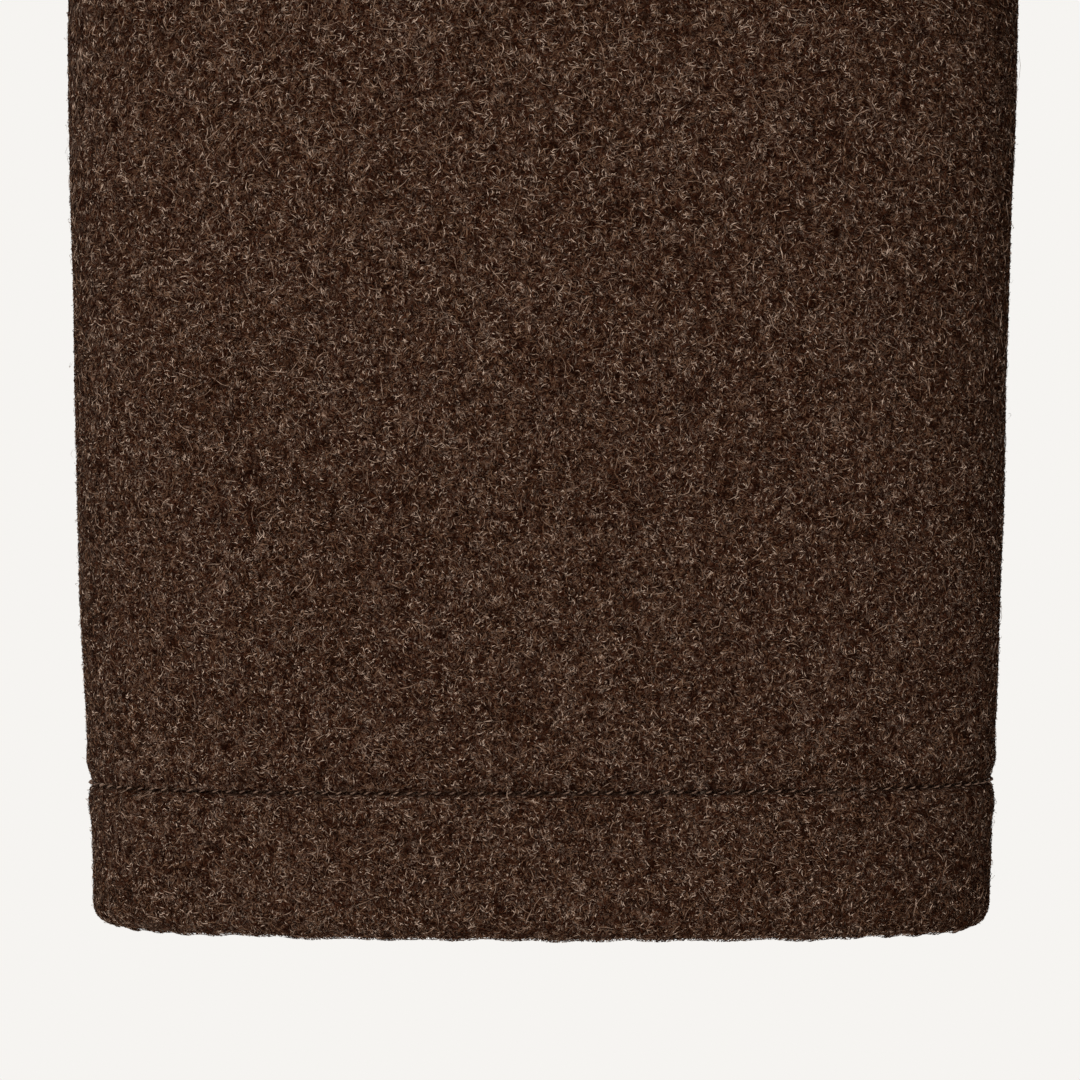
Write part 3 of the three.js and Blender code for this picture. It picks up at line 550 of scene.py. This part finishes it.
for side, word in ((1, "left"), (-1, "right")):
    last = np.pi / 2 - side_turn(TRUNK_ROWS, ARMHOLE_FORE)
    turns = spread(trunk_point, turn_at(-OVERLAP, TRUNK_ROWS), last, TRUNK_ROWS, 40)
    xs = trunk_point(turns, TRUNK_ROWS[:, None] + 0 * turns)[..., 0]
    panel = trunk_panel(
        f"front_{word}_panel",
        side * turns,
        [(-1, side, 1)],
        (HEM_EDGE, SEAM_EDGE, FRONT_EDGE, SEAM_EDGE),
        front_lift(side, xs, xs[:, -1:]),
        xs,
    )
    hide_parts(f"front_{word}")
    line = np.linspace(turn_at(3 - OVERLAP, STITCH_RISE), last[0] - 0.01, 300)
    points, normals = (f(side * line, STITCH_RISE + 0 * line) for f in (trunk_point, trunk_normal))
    raised = front_lift(side, np.abs(points[:, 0]) * np.sign(line), xs[0, -1])
    stitch_row(f"front_{word}_hem_stitches", points + normals * raised[:, None], normals)

# ------------------------------------------------------------------ sleeves
# Each sleeve is a top and an under panel of the same cloth, sewn to each other and set
# into the armhole. Its end is turned up 24 mm inside and caught with one row of stitching,
# which sinks into the cloth. It hangs filled out, as round an arm.
SLEEVE_HEM = 24
# Where each ring's middle lies, its half width and half thickness, and how square it is.
SLEEVE_RINGS = np.array(
    [
        (260, 6, -285, 61, 68, 2),  # biceps
        (278, 8, -340, 66.5, 60, 2),  # upper sleeve
        (298, 9, -410, 73, 45, 2.1),  # elbow
        (309.6, 3, -480, 76.9, 31, 2.35),  # forearm
        (311, -2, -550, 75.2, 25, 2.5),  # wrist
        (311, -2, -640, 72.2, 23, 2.5),  # end
    ]
)
# How far down from the biceps, the angle round, the reach round, width and depth.
ELBOW_CREASES = [
    (84, 128, 70, 15, -5.9),
    (112, 150, 60, 13, 4.5),
    (137, 120, 75, 15, -4.5),
    (100, 262, 55, 20, -3.9),
    (60, 230, 60, 16, -3.9),
    (150, 215, 55, 13, -3.4),
    (22, 205, 75, 13, -4.4),
    (46, 118, 70, 12, -4.2),
    (66, 172, 60, 10, -3.9),
    (124, 78, 60, 11, -3.9),
    (166, 142, 60, 12, -3.1),
    (30, 310, 60, 17, -3.4),
    (78, 338, 65, 18, -3.1),
    (140, 18, 60, 18, -2.6),
]
sleeve_steps = np.linalg.norm(np.diff(SLEEVE_RINGS[:, :3], axis=0), axis=1)
SLEEVE_ALONG = np.concatenate([[0], np.cumsum(sleeve_steps)])
SLEEVE_LENGTH = SLEEVE_ALONG[-1]
SLEEVE_CURVES = [smooth_curve(SLEEVE_ALONG, column) for column in SLEEVE_RINGS.T]
FORE_SEAM, HIND_SEAM = 150, 255  # the angles of its seams at the armhole
SEAM_TURN, SEAM_CAP = 45, 0.4  # how far they turn back, and the share of it in the cap
CREASED = 208  # the creases and the seams' turn end this far below the cap
SLEEVE_STITCH = SLEEVE_LENGTH - SLEEVE_HEM + CAUGHT
SLEEVE_RADIUS = 55  # of an even sleeve, to turn an angle into a length


def sleeve_middle(side, along):
    x, y, z = (curve(along) for curve in SLEEVE_CURVES[:3])
    return np.stack([side * x, y, z], axis=-1)


def sleeve_tube(side, around, along):
    wide, deep, square = (curve(along) for curve in SLEEVE_CURVES[3:])
    onward = sleeve_middle(side, np.minimum(along + 1, SLEEVE_LENGTH))
    down = unit(onward - sleeve_middle(side, along - 1))
    out = -unit(np.cross(np.array([0, side, 0]), down))
    front = np.cross(down, out) * side
    crease = 0
    for middle, angle, reach, width, depth in ELBOW_CREASES:
        depth = depth * (1 + 0.25 * side * np.sin(middle))
        slant = 9 * np.sin(around - np.radians(angle))
        fade = np.exp(-(((along - middle - slant) / width) ** 2))
        crease = crease + depth * fade * bump_round(around, angle, reach)
    cos, sin = np.cos(around), np.sin(around)
    reach = (np.abs(cos) ** square + np.abs(sin) ** square) ** (-1 / square)
    wide, deep = reach * (wide + crease) * cos, reach * (deep + crease) * sin
    return sleeve_middle(side, along) + out * wide[..., None] + front * deep[..., None]


def sleeve_cap(side, around, share):
    start, end = armhole_point(side, around)[0], sleeve_tube(side, around, 0 * around)
    length = np.linalg.norm(end - start, axis=-1)[..., None]
    hold = (0.8 - 0.18 * (1 + np.cos(around)) / 2)[..., None]
    leaving = cap_start(side, around) * hold * length
    reaching = (sleeve_tube(side, around, 0 * around + 1) - end) * length
    t = share[..., None]
    ends = start * (2 * t**3 - 3 * t**2 + 1) + end * (3 * t**2 - 2 * t**3)
    return ends + leaving * (t**3 - 2 * t**2 + t) + reaching * (t**3 - t**2)


def sleeve_point(side, around, row):
    """row is the share of the way down the cap, then 1 more than the distance below it."""
    around, row = np.broadcast_arrays(around, row)
    capped = sleeve_cap(side, around, np.minimum(row, 1))
    return np.where((row < 1)[..., None], capped, sleeve_tube(side, around, np.maximum(row - 1, 0)))


def sleeve_normal(side, around, row):
    about = sleeve_point(side, around + 1e-3, row) - sleeve_point(side, around - 1e-3, row)
    above = np.where(row <= 1, row - 1e-3, np.maximum(1, row - 0.5))
    below = np.where(row <= 1, row, row + 0.5)
    down = sleeve_point(side, around, below) - sleeve_point(side, around, above)
    return unit(np.cross(about, down)) * side


def seam_turn(row):
    way = np.where(row < 1, SEAM_CAP * row, SEAM_CAP + (1 - SEAM_CAP) * (row - 1) / CREASED)
    return np.radians(SEAM_TURN) * ease(way)


def sleeve_relief(around, row):
    """How far the stitching and small soft dents push the sleeve's cloth in."""
    along = row - 1
    across = around * SLEEVE_RADIUS
    dents = 0.3 * np.sin(across / 19 + along / 31) * np.sin(along / 23 + 2 + across / 47)
    dents = dents + 0.16 * np.sin(across / 7.3 + np.sin(along / 11)) * np.sin(along / 9.1 + 1)
    faded = ease(along / 60)
    return dents * faded + sewn_in(along - SLEEVE_STITCH, across)


def hem_waver(around):
    """The folded edge isn't cut, so it runs a little unevenly."""
    across = around * SLEEVE_RADIUS
    fine = np.sin(across / 1.1 + 2 * np.sin(across / 7))
    bumps = 0.14 * (fine + np.sin(across / 3.1 + 1) * np.sin(across / 11))
    return bumps - 0.3 + 0.3 * np.cos(around)


near_armhole = [0, 0.0015, 0.004, 0.008, 0.013, 0.02, 0.03, 0.047]
cap_rows = np.concatenate([near_armhole, np.linspace(0.07, 1, 28)[:-1]])
beside_stitches = np.array([0.15, 0.3, 0.5, 0.8, 1.3, 2, 2.8, 4])
stitch_rows = SLEEVE_STITCH + np.concatenate([-beside_stitches[::-1], [0], beside_stitches])
edge_rows = SLEEVE_LENGTH - np.array([4.6, 3.7, 3, 2.3, 1.7, 1.2, 0.8, 0.5, 0.25, 0.1, 0])


def sleeve_panel(name, side, first, last, count, gap):
    """gap is the distance between rows near the sleeve's end."""
    upper = np.arange(0, CREASED, 7.5)
    lower = np.arange(CREASED, SLEEVE_STITCH - 5, gap)
    hem = np.arange(SLEEVE_STITCH + 5, SLEEVE_LENGTH - 5, gap)
    below_cap = np.concatenate([upper, lower, stitch_rows, hem, edge_rows])
    rows = np.concatenate([cap_rows, 1 + below_cap])
    first, last = (np.radians(seam) + seam_turn(rows) for seam in (first, last))
    around = spread(lambda a, r: sleeve_point(side, a, r), first, last, rows, count)
    grid = rows[:, None] + 0 * around
    points, normals = sleeve_point(side, around, grid), sleeve_normal(side, around, grid)
    near = (1 - ease(walked(points, 0) / 8))[..., None]
    normals = unit(normals * (1 - near) + armhole_normal(side, around) * near)
    points = points - normals * np.where(grid > 1, sleeve_relief(around, grid), 0)[..., None]
    points[..., 2] += hem_waver(around) * ease(1 - (SLEEVE_LENGTH + 1 - grid) / 8)
    wall = CLOTH + (DOUBLED - CLOTH) * ease((grid - 1 - SLEEVE_LENGTH + SLEEVE_HEM + 3) / 3)
    return cloth_piece(name, points, normals, wall, (SEAM_EDGE, HEM_EDGE, SEAM_EDGE, SEAM_EDGE))


for side, word, fine, gap in ((1, "left", 1, 7), (-1, "right", 2, 2.6)):
    top = sleeve_panel(f"top_sleeve_{word}_panel", side, HIND_SEAM - 360, FORE_SEAM, 56 * fine, gap)
    under = sleeve_panel(f"under_sleeve_{word}_panel", side, FORE_SEAM, HIND_SEAM, 20 * fine, gap)
    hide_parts(f"top_sleeve_{word}")
    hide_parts(f"under_sleeve_{word}")
    line = np.linspace(0, 2 * np.pi, 700)
    row = 1 + SLEEVE_STITCH + 0 * line
    points, normals = sleeve_point(side, line, row), sleeve_normal(side, line, row)
    stitch_row(f"sleeve_{word}_hem_stitches", points, normals)

# ------------------------------------------------------------------ collar
# A plain turn-down collar of two layers, sewn to the neckline. Its stand rises at the
# neck, and its fall turns over and lies on the shoulders, spreading into two points.
COLLAR_WALL = 4
COLLAR_END, COLLAR_SPREAD = 5, 50  # from the middle, at the stand and at the points
COLLAR_ROLL = 6
STAND, STAND_RISE = 21, 16  # its height in front, and how much higher it is behind
FALL, POINTS = 30, 40  # how far it covers the neck behind, and how much further in front
COLLAR_FIRST = turn_at(COLLAR_END, NECK_RISE)


def collar_foot(turn):
    """A point of the collar's middle at the neckline, and the cloth's normal there."""
    rise = NECK_RISE + 0 * turn
    normal, point = trunk_normal(turn, rise), trunk_point(turn, rise)
    up = unit(point - trunk_point(turn, rise - 1))
    lift = front_lift(np.where(turn < np.pi / 2, 1, -1), point[..., 0], 80)
    return point + normal * (lift - COLLAR_WALL / 2)[..., None] + up * 0.3, normal


def collar_point(turn, over):
    """over runs up the stand (0 to 1), over the roll (1 to 2) and down the fall (2 to 3)."""
    turn, over = np.broadcast_arrays(turn, over)
    side = np.where(turn < np.pi, 1, -1)
    share = (np.where(side > 0, turn, 2 * np.pi - turn) - COLLAR_FIRST) / (np.pi - COLLAR_FIRST)
    foot = collar_foot(turn)[0]
    out = np.stack([np.sin(turn), -np.cos(turn), 0 * turn], axis=-1)
    up = unit(np.array([0, 0, 1]) - 0.12 * out)
    settled = ease(share * 1.6)
    top = foot + up * (STAND + STAND_RISE * settled)[..., None]
    roll = np.clip(over - 1, 0, 1) * np.pi
    start = top + out * (COLLAR_ROLL * (1 - np.cos(roll)))[..., None]
    start = start + up * (COLLAR_ROLL * np.sin(roll))[..., None]
    edge_rise = NECK_RISE - (FALL + POINTS * (1 - share) ** 2.2)
    shift = turn_at(COLLAR_SPREAD, edge_rise) - COLLAR_FIRST
    edge_turn = turn + side * shift * (1 - share) ** 3
    clear = FRONT_LIFT + 1 + (0.2 - FRONT_LIFT) * settled + COLLAR_WALL / 2
    edge = trunk_point(edge_turn, edge_rise) + trunk_normal(edge_turn, edge_rise) * clear[..., None]
    down = unit(trunk_point(edge_turn, edge_rise - 1) - trunk_point(edge_turn, edge_rise + 1))
    length = np.linalg.norm(edge - start, axis=-1)[..., None]
    level = np.stack([np.cos(turn), np.sin(turn), 0 * turn], axis=-1)
    apart = level * ((edge - start) * level).sum(-1)[..., None]
    t = np.clip(over - 2, 0, 1)[..., None]
    fall = start * (2 * t**3 - 3 * t**2 + 1) + edge * (3 * t**2 - 2 * t**3)
    fall = fall + (apart - up * length) * (t**3 - 2 * t**2 + t)
    fall = fall + (down * length + apart) * (t**3 - t**2)
    stand = foot + (top - foot) * np.clip(over, 0, 1)[..., None]
    return np.where((over <= 1)[..., None], stand, np.where((over <= 2)[..., None], start, fall))


def collar_normal(turn, over):
    at = np.clip(turn, COLLAR_FIRST + 1e-3, 2 * np.pi - COLLAR_FIRST - 1e-3)
    about = collar_point(at + 1e-3, over) - collar_point(at - 1e-3, over)
    onward = collar_point(at, np.minimum(3, over + 1e-3)) - collar_point(at, over - 1e-3)
    normal = unit(np.cross(about, onward))
    return np.where((over < 1e-6)[..., None], collar_foot(turn)[1], normal)


overs = np.concatenate(
    [
        [0, 0.01, 0.03, 0.06, 0.1, 0.2],
        np.linspace(0.3, 1, 5),
        np.linspace(1, 2, 11)[1:],
        np.linspace(2, 3, 13)[1:-1],
        [0.95, 0.965, 0.978, 0.988, 0.995, 1] + np.array(2),
    ]
)
ends = COLLAR_FIRST + 0 * overs
turns = spread(collar_point, ends, 2 * np.pi - ends, overs, 150)
grid = overs[:, None] + 0 * turns
normals = collar_normal(turns, grid)
points = collar_point(turns, grid) + normals * COLLAR_WALL / 2
COLLAR_EDGE = (2.2, 1.7)  # outer and inner rounding of its turned edge
edges = (SEAM_EDGE, COLLAR_EDGE, COLLAR_EDGE, COLLAR_EDGE)
collar = cloth_piece("collar_panel", points, normals, COLLAR_WALL, edges)
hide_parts("collar")

# ------------------------------------------------------------------ buttons
# Four buttons of dark horn, turned on a lathe with a raised rim and a dished middle, and
# drilled with four holes. Each is sewn through the right front on a thread shank, and
# stands in a worked buttonhole of the left one.
BUTTON_DROPS = [40, 160, 280, 400]  # below the neckline, along centre front
BUTTON_SEAT = 0.4  # its back stands this far off the cloth
HOLE_AT, HOLE_RADIUS = 2.9, 1.1
SLIT_AT, SLIT_HALF, SLIT_WIDE = 12, 15, 1.3  # the buttonhole's middle, half length, half width
PURL_PITCH = 0.62  # from one of its stitches to the next
BUTTON_PROFILE = [
    # radius and height round the turned section
    (0.02, 0),
    (11.3, 0),
    (12.3, 0.3),
    (13, 1),
    (13.4, 1.8),
    (13.5, 2.5),
    (13.3, 3.4),
    (12.7, 4.1),
    (11.9, 4.45),
    (11.2, 4.5),
    (10.5, 4.3),
    (9.7, 3.75),
    (9, 3.35),
    (8, 3.05),
    (5, 2.85),
    (0.02, 2.8),
]
# Horn: a natural plate of fused fibres, polished. It is dark brown with paler streaks along
# its growth, and takes a soft gloss.
looks = {"IOR": 1.54, "Specular IOR Level": 0.25}
horn, tree, shader, place = new_material("polished_horn", looks)
growth = {"Vector": place, "Rotation": (0, 0.5, 0), "Scale": (0.012, 0.003, 0.002)}
grown = add(tree, "Mapping", growth, vector_type="TEXTURE")
streak = {"Vector": grown.outputs[0], "Scale": 1, "Detail": 3, "Distortion": 0.6}
streak = add(tree, "TexNoise", streak)
shade = add(tree, "ValToRGB", {"Fac": streak.outputs[0]})
set_ramp(shade.color_ramp, [(0.3, "#140904"), (0.52, "#2f190d"), (0.72, "#634024")])
worn = add(tree, "TexNoise", {"Vector": place, "Scale": 900, "Detail": 2})
gloss = add(tree, "MapRange", {"Value": worn.outputs[0], "To Min": 0.24, "To Max": 0.42})
lathe = add(tree, "Bump", {"Height": worn.outputs[0], "Strength": 0.15, "Distance": 0.0001})
for name, node in (("Base Color", shade), ("Roughness", gloss), ("Normal", lathe)):
    tree.links.new(node.outputs[0], shader.inputs[name])


def turned_button(name):
    """A button with its back on z = 0, as points in metres, with its holes drilled."""
    sides = 64
    angles = np.arange(sides) * 2 * np.pi / sides
    ring = np.stack([np.cos(angles), np.sin(angles), 1 + 0 * angles], axis=-1)
    rings = np.array([ring * (r, r, z) for r, z in BUTTON_PROFILE])
    at = np.arange(rings.shape[0] * sides).reshape(-1, sides)
    faces = quads(at[:-1], np.roll(at[:-1], -1, 1), np.roll(at[1:], -1, 1), at[1:])
    mesh = bpy.data.meshes.new(name)
    faces = [*faces.tolist(), at[0][::-1].tolist(), at[-1].tolist()]
    mesh.from_pydata((rings.reshape(-1, 3) * 0.001).tolist(), [], faces)
    button = new_object(name, mesh)
    drills = []
    for x in (-HOLE_AT, HOLE_AT):
        for y in (-HOLE_AT, HOLE_AT):
            circle = [(x + a, y + b) for a, b in HOLE_RADIUS * ring[::4, :2]]
            drill = bpy.data.meshes.new("drill")
            spots = [(0.001 * a, 0.001 * b, z) for z in (-0.002, 0.01) for a, b in circle]
            n = len(circle)
            walls = [(i, (i + 1) % n, n + (i + 1) % n, n + i) for i in range(n)]
            drill.from_pydata(spots, [], [*walls, list(range(n))[::-1], list(range(n, 2 * n))])
            drills.append(new_object("drill", drill))
            cut = button.modifiers.new("hole", "BOOLEAN")
            cut.object = drills[-1]
            cut.operation = "DIFFERENCE"
            cut.solver = "EXACT"
    graph = bpy.context.evaluated_depsgraph_get()
    done = bpy.data.meshes.new_from_object(button.evaluated_get(graph))
    for spare in (*drills, button):
        bpy.data.objects.remove(spare)
    return done


blank = turned_button("button_blank")
blank.materials.clear()
blank.materials.append(horn)
blank.shade_smooth()
blank.set_sharp_from_angle(angle=np.radians(50))


def rise_below_neck(distance):
    rises = np.arange(NECK_RISE, 400, -0.5)
    path = trunk_point(0 * rises, rises)
    return float(np.interp(distance, walked(path[None], 1)[0], rises))


for i, drop in enumerate(BUTTON_DROPS, 1):
    rise = rise_below_neck(drop)
    centre, normal = (f(np.array(0.0), np.array(rise)) for f in (trunk_point, trunk_normal))
    seat = centre + normal * (FRONT_LIFT + BUTTON_SEAT)
    across = np.array([1.0, 0, 0])
    up = np.cross(normal, across)
    axes = np.stack([across, up, normal], axis=1)
    mesh = blank.copy()
    spots = np.empty(3 * len(mesh.vertices), np.float32)
    mesh.vertices.foreach_get("co", spots)
    spots = spots.reshape(-1, 3) @ axes.T + seat * 0.001
    mesh.vertices.foreach_set("co", spots.astype(np.float32).ravel())
    mesh.update()
    button = new_object(f"horn_button_{i}", mesh)
    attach(button, "root")
    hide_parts(f"button_{i}")

    def placed(spots):
        return np.asarray(spots, float) @ axes.T + seat

    # three strands of thread over each pair of holes
    rising = [(-2.9, 0.6), (-2.8, 2.9), (-1.6, 3.5)]
    strand = [*rising, (0, 3.6), *((-x, z) for x, z in rising[::-1])]
    beside = [y + k for y in (-HOLE_AT, HOLE_AT) for k in (-0.55, 0, 0.55)]
    strands = placed([[(x, y, z) for x, z in strand] for y in beside])
    tubes(f"button_thread_{i}", strands, np.broadcast_to(normal, strands.shape), [0.33] * 7, thread)
    # the buttonhole's edge, worked with close stitches round a slit
    ahead = np.linspace(0, 2 * np.pi, 121)
    narrow = SLIT_WIDE * np.sin(ahead) * np.abs(np.sin(ahead)) ** 0.15
    slit = np.stack([SLIT_AT + SLIT_HALF * np.cos(ahead), narrow, 0 * ahead], axis=-1)
    lengths = walked(slit[None], 1)[0]
    spot = np.arange(0, lengths[-1], PURL_PITCH)
    x, y = (np.interp(spot, lengths, slit[:, k]) for k in (0, 1))
    outward = unit(np.stack([np.gradient(y), -np.gradient(x)], axis=-1))
    reach = np.linspace(-0.9, 1.4, 5)
    tall = np.array([-0.7, -0.1, 0.15, 0, -0.75])
    x, y = x[:, None] + outward[:, :1] * reach, y[:, None] + outward[:, 1:] * reach
    purl = placed(np.stack([x, y, 0 * x + tall - BUTTON_SEAT], axis=-1))
    radii = [0.2, 0.33, 0.34, 0.33, 0.2]
    tubes(f"buttonhole_{i}", purl, np.broadcast_to(normal, purl.shape), radii, thread)

# ------------------------------------------------------------------ nap
# Loose ends of the wool stand off the felt as a short curly nap. They are single hairs of
# several browns, drawn about five times as thick as the real 0.03 mm so that they show.
NAP_TOP = SLEEVE_LENGTH - 172  # hairs are laid from here to the sleeve's end
FRONT_SHARE = 0.82  # of the hairs lie on the sleeve's front half
FRINGE_SHARE = 0.014  # of the hairs hang over the sleeve's edge
LOWEST = 0.03  # a hair's height over the cloth
NAP = [
    # name, hairs, mean length, width, mean height, stations, colours, seed
    ("dark", 78000, 0.85, 0.18, 0.06, 3, ("#140501", "#230e06"), 1),
    ("brown", 94000, 0.8, 0.16, 0.08, 3, ("#291208", "#412619"), 2),
    ("taupe", 84000, 0.78, 0.14, 0.11, 3, ("#4c3324", "#6d5341"), 3),
    ("pale", 34000, 0.7, 0.13, 0.15, 3, ("#7f6959", "#b49c8b"), 4),
    ("long", 4000, 2.2, 0.1, 0.3, 5, ("#5a4131", "#907969"), 5),
]
girth = np.linspace(0, 2 * np.pi, 721)
girth_length = walked(sleeve_point(-1, girth, 1 + SLEEVE_LENGTH - 40 + 0 * girth)[None], 1)[0]


def waves(x, y, size, seed):
    """A smooth random field over the sleeve, about from -1 to 1, with this wavelength."""
    rng = np.random.default_rng(seed)
    total = 0
    for _ in range(11):
        angle, phase, stretch = rng.uniform(0, 2 * np.pi, 3)
        k = 2 * np.pi / (size * (0.7 + 0.1 * stretch))
        total = total + np.sin(k * (x * np.cos(angle) + y * np.sin(angle)) + phase)
    return total / 3.3


def nap_place(around, along, height):
    """The place over the right sleeve's cloth where a hair runs."""
    on = np.minimum(along, SLEEVE_LENGTH)
    row = 1 + on
    point, normal = sleeve_point(-1, around, row), sleeve_normal(-1, around, row)
    fall = sleeve_relief(around, row) + rolled(SLEEVE_LENGTH - on, HEM_EDGE[0])
    point = point + normal * (height - fall)[..., None]
    point[..., 2] += hem_waver(around) * ease(1 - (SLEEVE_LENGTH - on) / 8) + on - along
    return point, normal


def nap_piece(name, count, length, width, lift, steps, colours, seed):
    rng = np.random.default_rng(seed)
    many = 5 * count
    facing = rng.random(many) < FRONT_SHARE
    walk = rng.uniform(0, girth_length[-1], many)
    around = np.interp(walk, girth_length, girth)
    along = rng.uniform(NAP_TOP, SLEEVE_LENGTH + 0.2, many)
    fringe = rng.random(many) < FRINGE_SHARE
    along = np.where(fringe, SLEEVE_LENGTH - rng.uniform(0, 0.7, many), along)
    clump = 0.7 * waves(walk, along, 3.6, seed) + waves(walk, along, 1.8, seed + 10)
    thin = ease((along - NAP_TOP) / 18)
    rough = ease((SLEEVE_STITCH - 40 - along) / 90)  # the nap is longer and rougher higher up
    laid = thin * (0.5 + (0.2 + 0.12 * rough) * clump)
    kept = (facing == (np.sin(around) > -0.25)) & (rng.random(many) < laid)
    reach = np.clip(rng.lognormal(np.log(length), 0.4, many), 0.35, 6) * (1 + 0.5 * rough)
    heading = np.pi * waves(walk, along, 9, 50) + rng.normal(0, 0.9, many)
    below = along - SLEEVE_STITCH
    heading = np.where(fringe, rng.normal(0, 0.7, many), heading)
    # just below the stitching the hairs lie along it, and few cross it
    along_it = np.sign(np.sin(heading)) * np.pi / 2 + 0.35 * np.cos(heading)
    heading = np.where(np.abs(below - 0.5) < 0.4, along_it, heading)
    end = below + np.cos(heading) * reach
    crosses = (np.minimum(below, end) < 0.1) & (np.maximum(below, end) > -0.16)
    bare = (below < 0) & (below > -2) & (rng.random(many) < 0.5)
    kept &= ~(crosses & (rng.random(many) < 0.88)) & ~bare
    chosen = np.flatnonzero(kept)[:count]
    around, along, heading = around[chosen], along[chosen], heading[chosen]
    reach = reach[chosen] / (steps - 1)
    n = len(chosen)
    curl = rng.normal(0, 0.45, n) / length
    share = np.linspace(0, 1, steps)
    tall = lift * rng.lognormal(0, 0.5, n)
    free = rng.random(n) ** 2
    # a lying hair arches, and a free one rises to its end
    free, tall = free[:, None], tall[:, None]
    profile = LOWEST + tall * (np.sin(np.pi * share) * (1 - free) + free * share**1.5)
    spots, ups = np.empty((n, steps, 3)), np.empty((n, steps, 3))
    beyond, before = (sleeve_point(-1, around + off, 1 + along) for off in (1e-3, -1e-3))
    per_turn = np.linalg.norm(beyond - before, axis=-1) / 2e-3
    for i in range(steps):
        spots[:, i], ups[:, i] = nap_place(around, along, profile[:, i])
        along = np.minimum(along + np.cos(heading) * reach, SLEEVE_LENGTH + 0.35)
        around = around + np.sin(heading) * reach / per_turn
        heading = heading + curl * reach * 3 + rng.normal(0, 0.15, n)
    ahead = unit(np.gradient(spots, axis=1))
    lean = rng.uniform(-0.9, 0.9, (n, 1, 1))
    beside = unit(np.cross(ahead, ups)) * np.cos(lean) + ups * np.sin(lean)
    # each hair is a ribbon that narrows to a point at both ends
    half = width / 2 * rng.uniform(0.7, 1.25, (n, 1)) * np.sin(share * np.pi)[1:-1]
    sides = beside[:, 1:-1] * half[..., None]
    middle = spots[:, 1:-1]
    points = np.concatenate([spots[:, :1], spots[:, -1:], middle - sides, middle + sides], axis=1)
    at = np.arange(points.size // 3).reshape(n, -1)
    left, right = at[:, 2:steps], at[:, steps:]
    strips = [
        (at[:, 0], left[:, 0], right[:, 0]),
        (left[:, -1], at[:, 1], right[:, -1]),
        (left[:, :-1], left[:, 1:], right[:, 1:]),
        (left[:, :-1], right[:, 1:], right[:, :-1]),
    ]
    faces = np.concatenate([np.stack(strip, axis=-1).reshape(-1, 3) for strip in strips])
    looks = {"Roughness": 0.8, "Specular IOR Level": 0.02}
    hair, tree, shader, place = new_material(f"{name}_wool_hair", looks)
    vary = add(tree, "TexNoise", {"Vector": place, "Scale": 900, "Detail": 2})
    tint = add(tree, "ValToRGB", {"Fac": vary.outputs[0]})
    set_ramp(tint.color_ramp, [(0.35, colours[0]), (0.65, colours[1])])
    tree.links.new(tint.outputs[0], shader.inputs["Base Color"])
    return make_piece(f"nap_{name}", points, faces, hair)


for row in NAP:
    nap_piece(*row)

# ------------------------------------------------------------------ floor, light and camera
# A plain pale floor and an even pale surround, with one broad soft light from the front.
# The camera stands close to the end of the right sleeve, level with it.
looks = {"Base Color": linear("#fdfcfb"), "Roughness": 0.9, "Specular IOR Level": 0.1}
paper = new_material("pale_floor", looks)[0]
floor = bpy.data.meshes.new("floor")
rim = [(2.9 * np.cos(a), 2.9 * np.sin(a), -1.25) for a in np.linspace(0, 2 * np.pi, 97)[:-1]]
floor.from_pydata(rim, [], [range(len(rim))])
floor.materials.append(paper)
floor = new_object("floor", floor)

world = bpy.data.worlds.new("surround")
world.use_nodes = True
sky = world.node_tree.nodes["Background"].inputs
sky["Color"].default_value = linear("#f6f4f1")
sky["Strength"].default_value = 1
bpy.context.scene.world = world

lamp = bpy.data.lights.new("soft_light", "AREA")
lamp.shape = "DISK"
lamp.size = 1.4
lamp.energy = 33
lamp = new_object("soft_light", lamp)
lamp.location = (-0.55, -2.0, 1.1)
lamp.rotation_euler = (np.radians(50), 0, np.radians(-7))

camera = bpy.data.cameras.new("camera")
camera.lens = 94.9
camera.clip_start = 0.01
camera = new_object("camera", camera)
camera.location = (-0.3112, -0.463, -0.5784)
camera.rotation_euler = (np.radians(90), 0, 0)
bpy.context.scene.camera = camera
bpy.context.scene.view_settings.view_transform = "Standard"

bpy.context.view_layer.update()
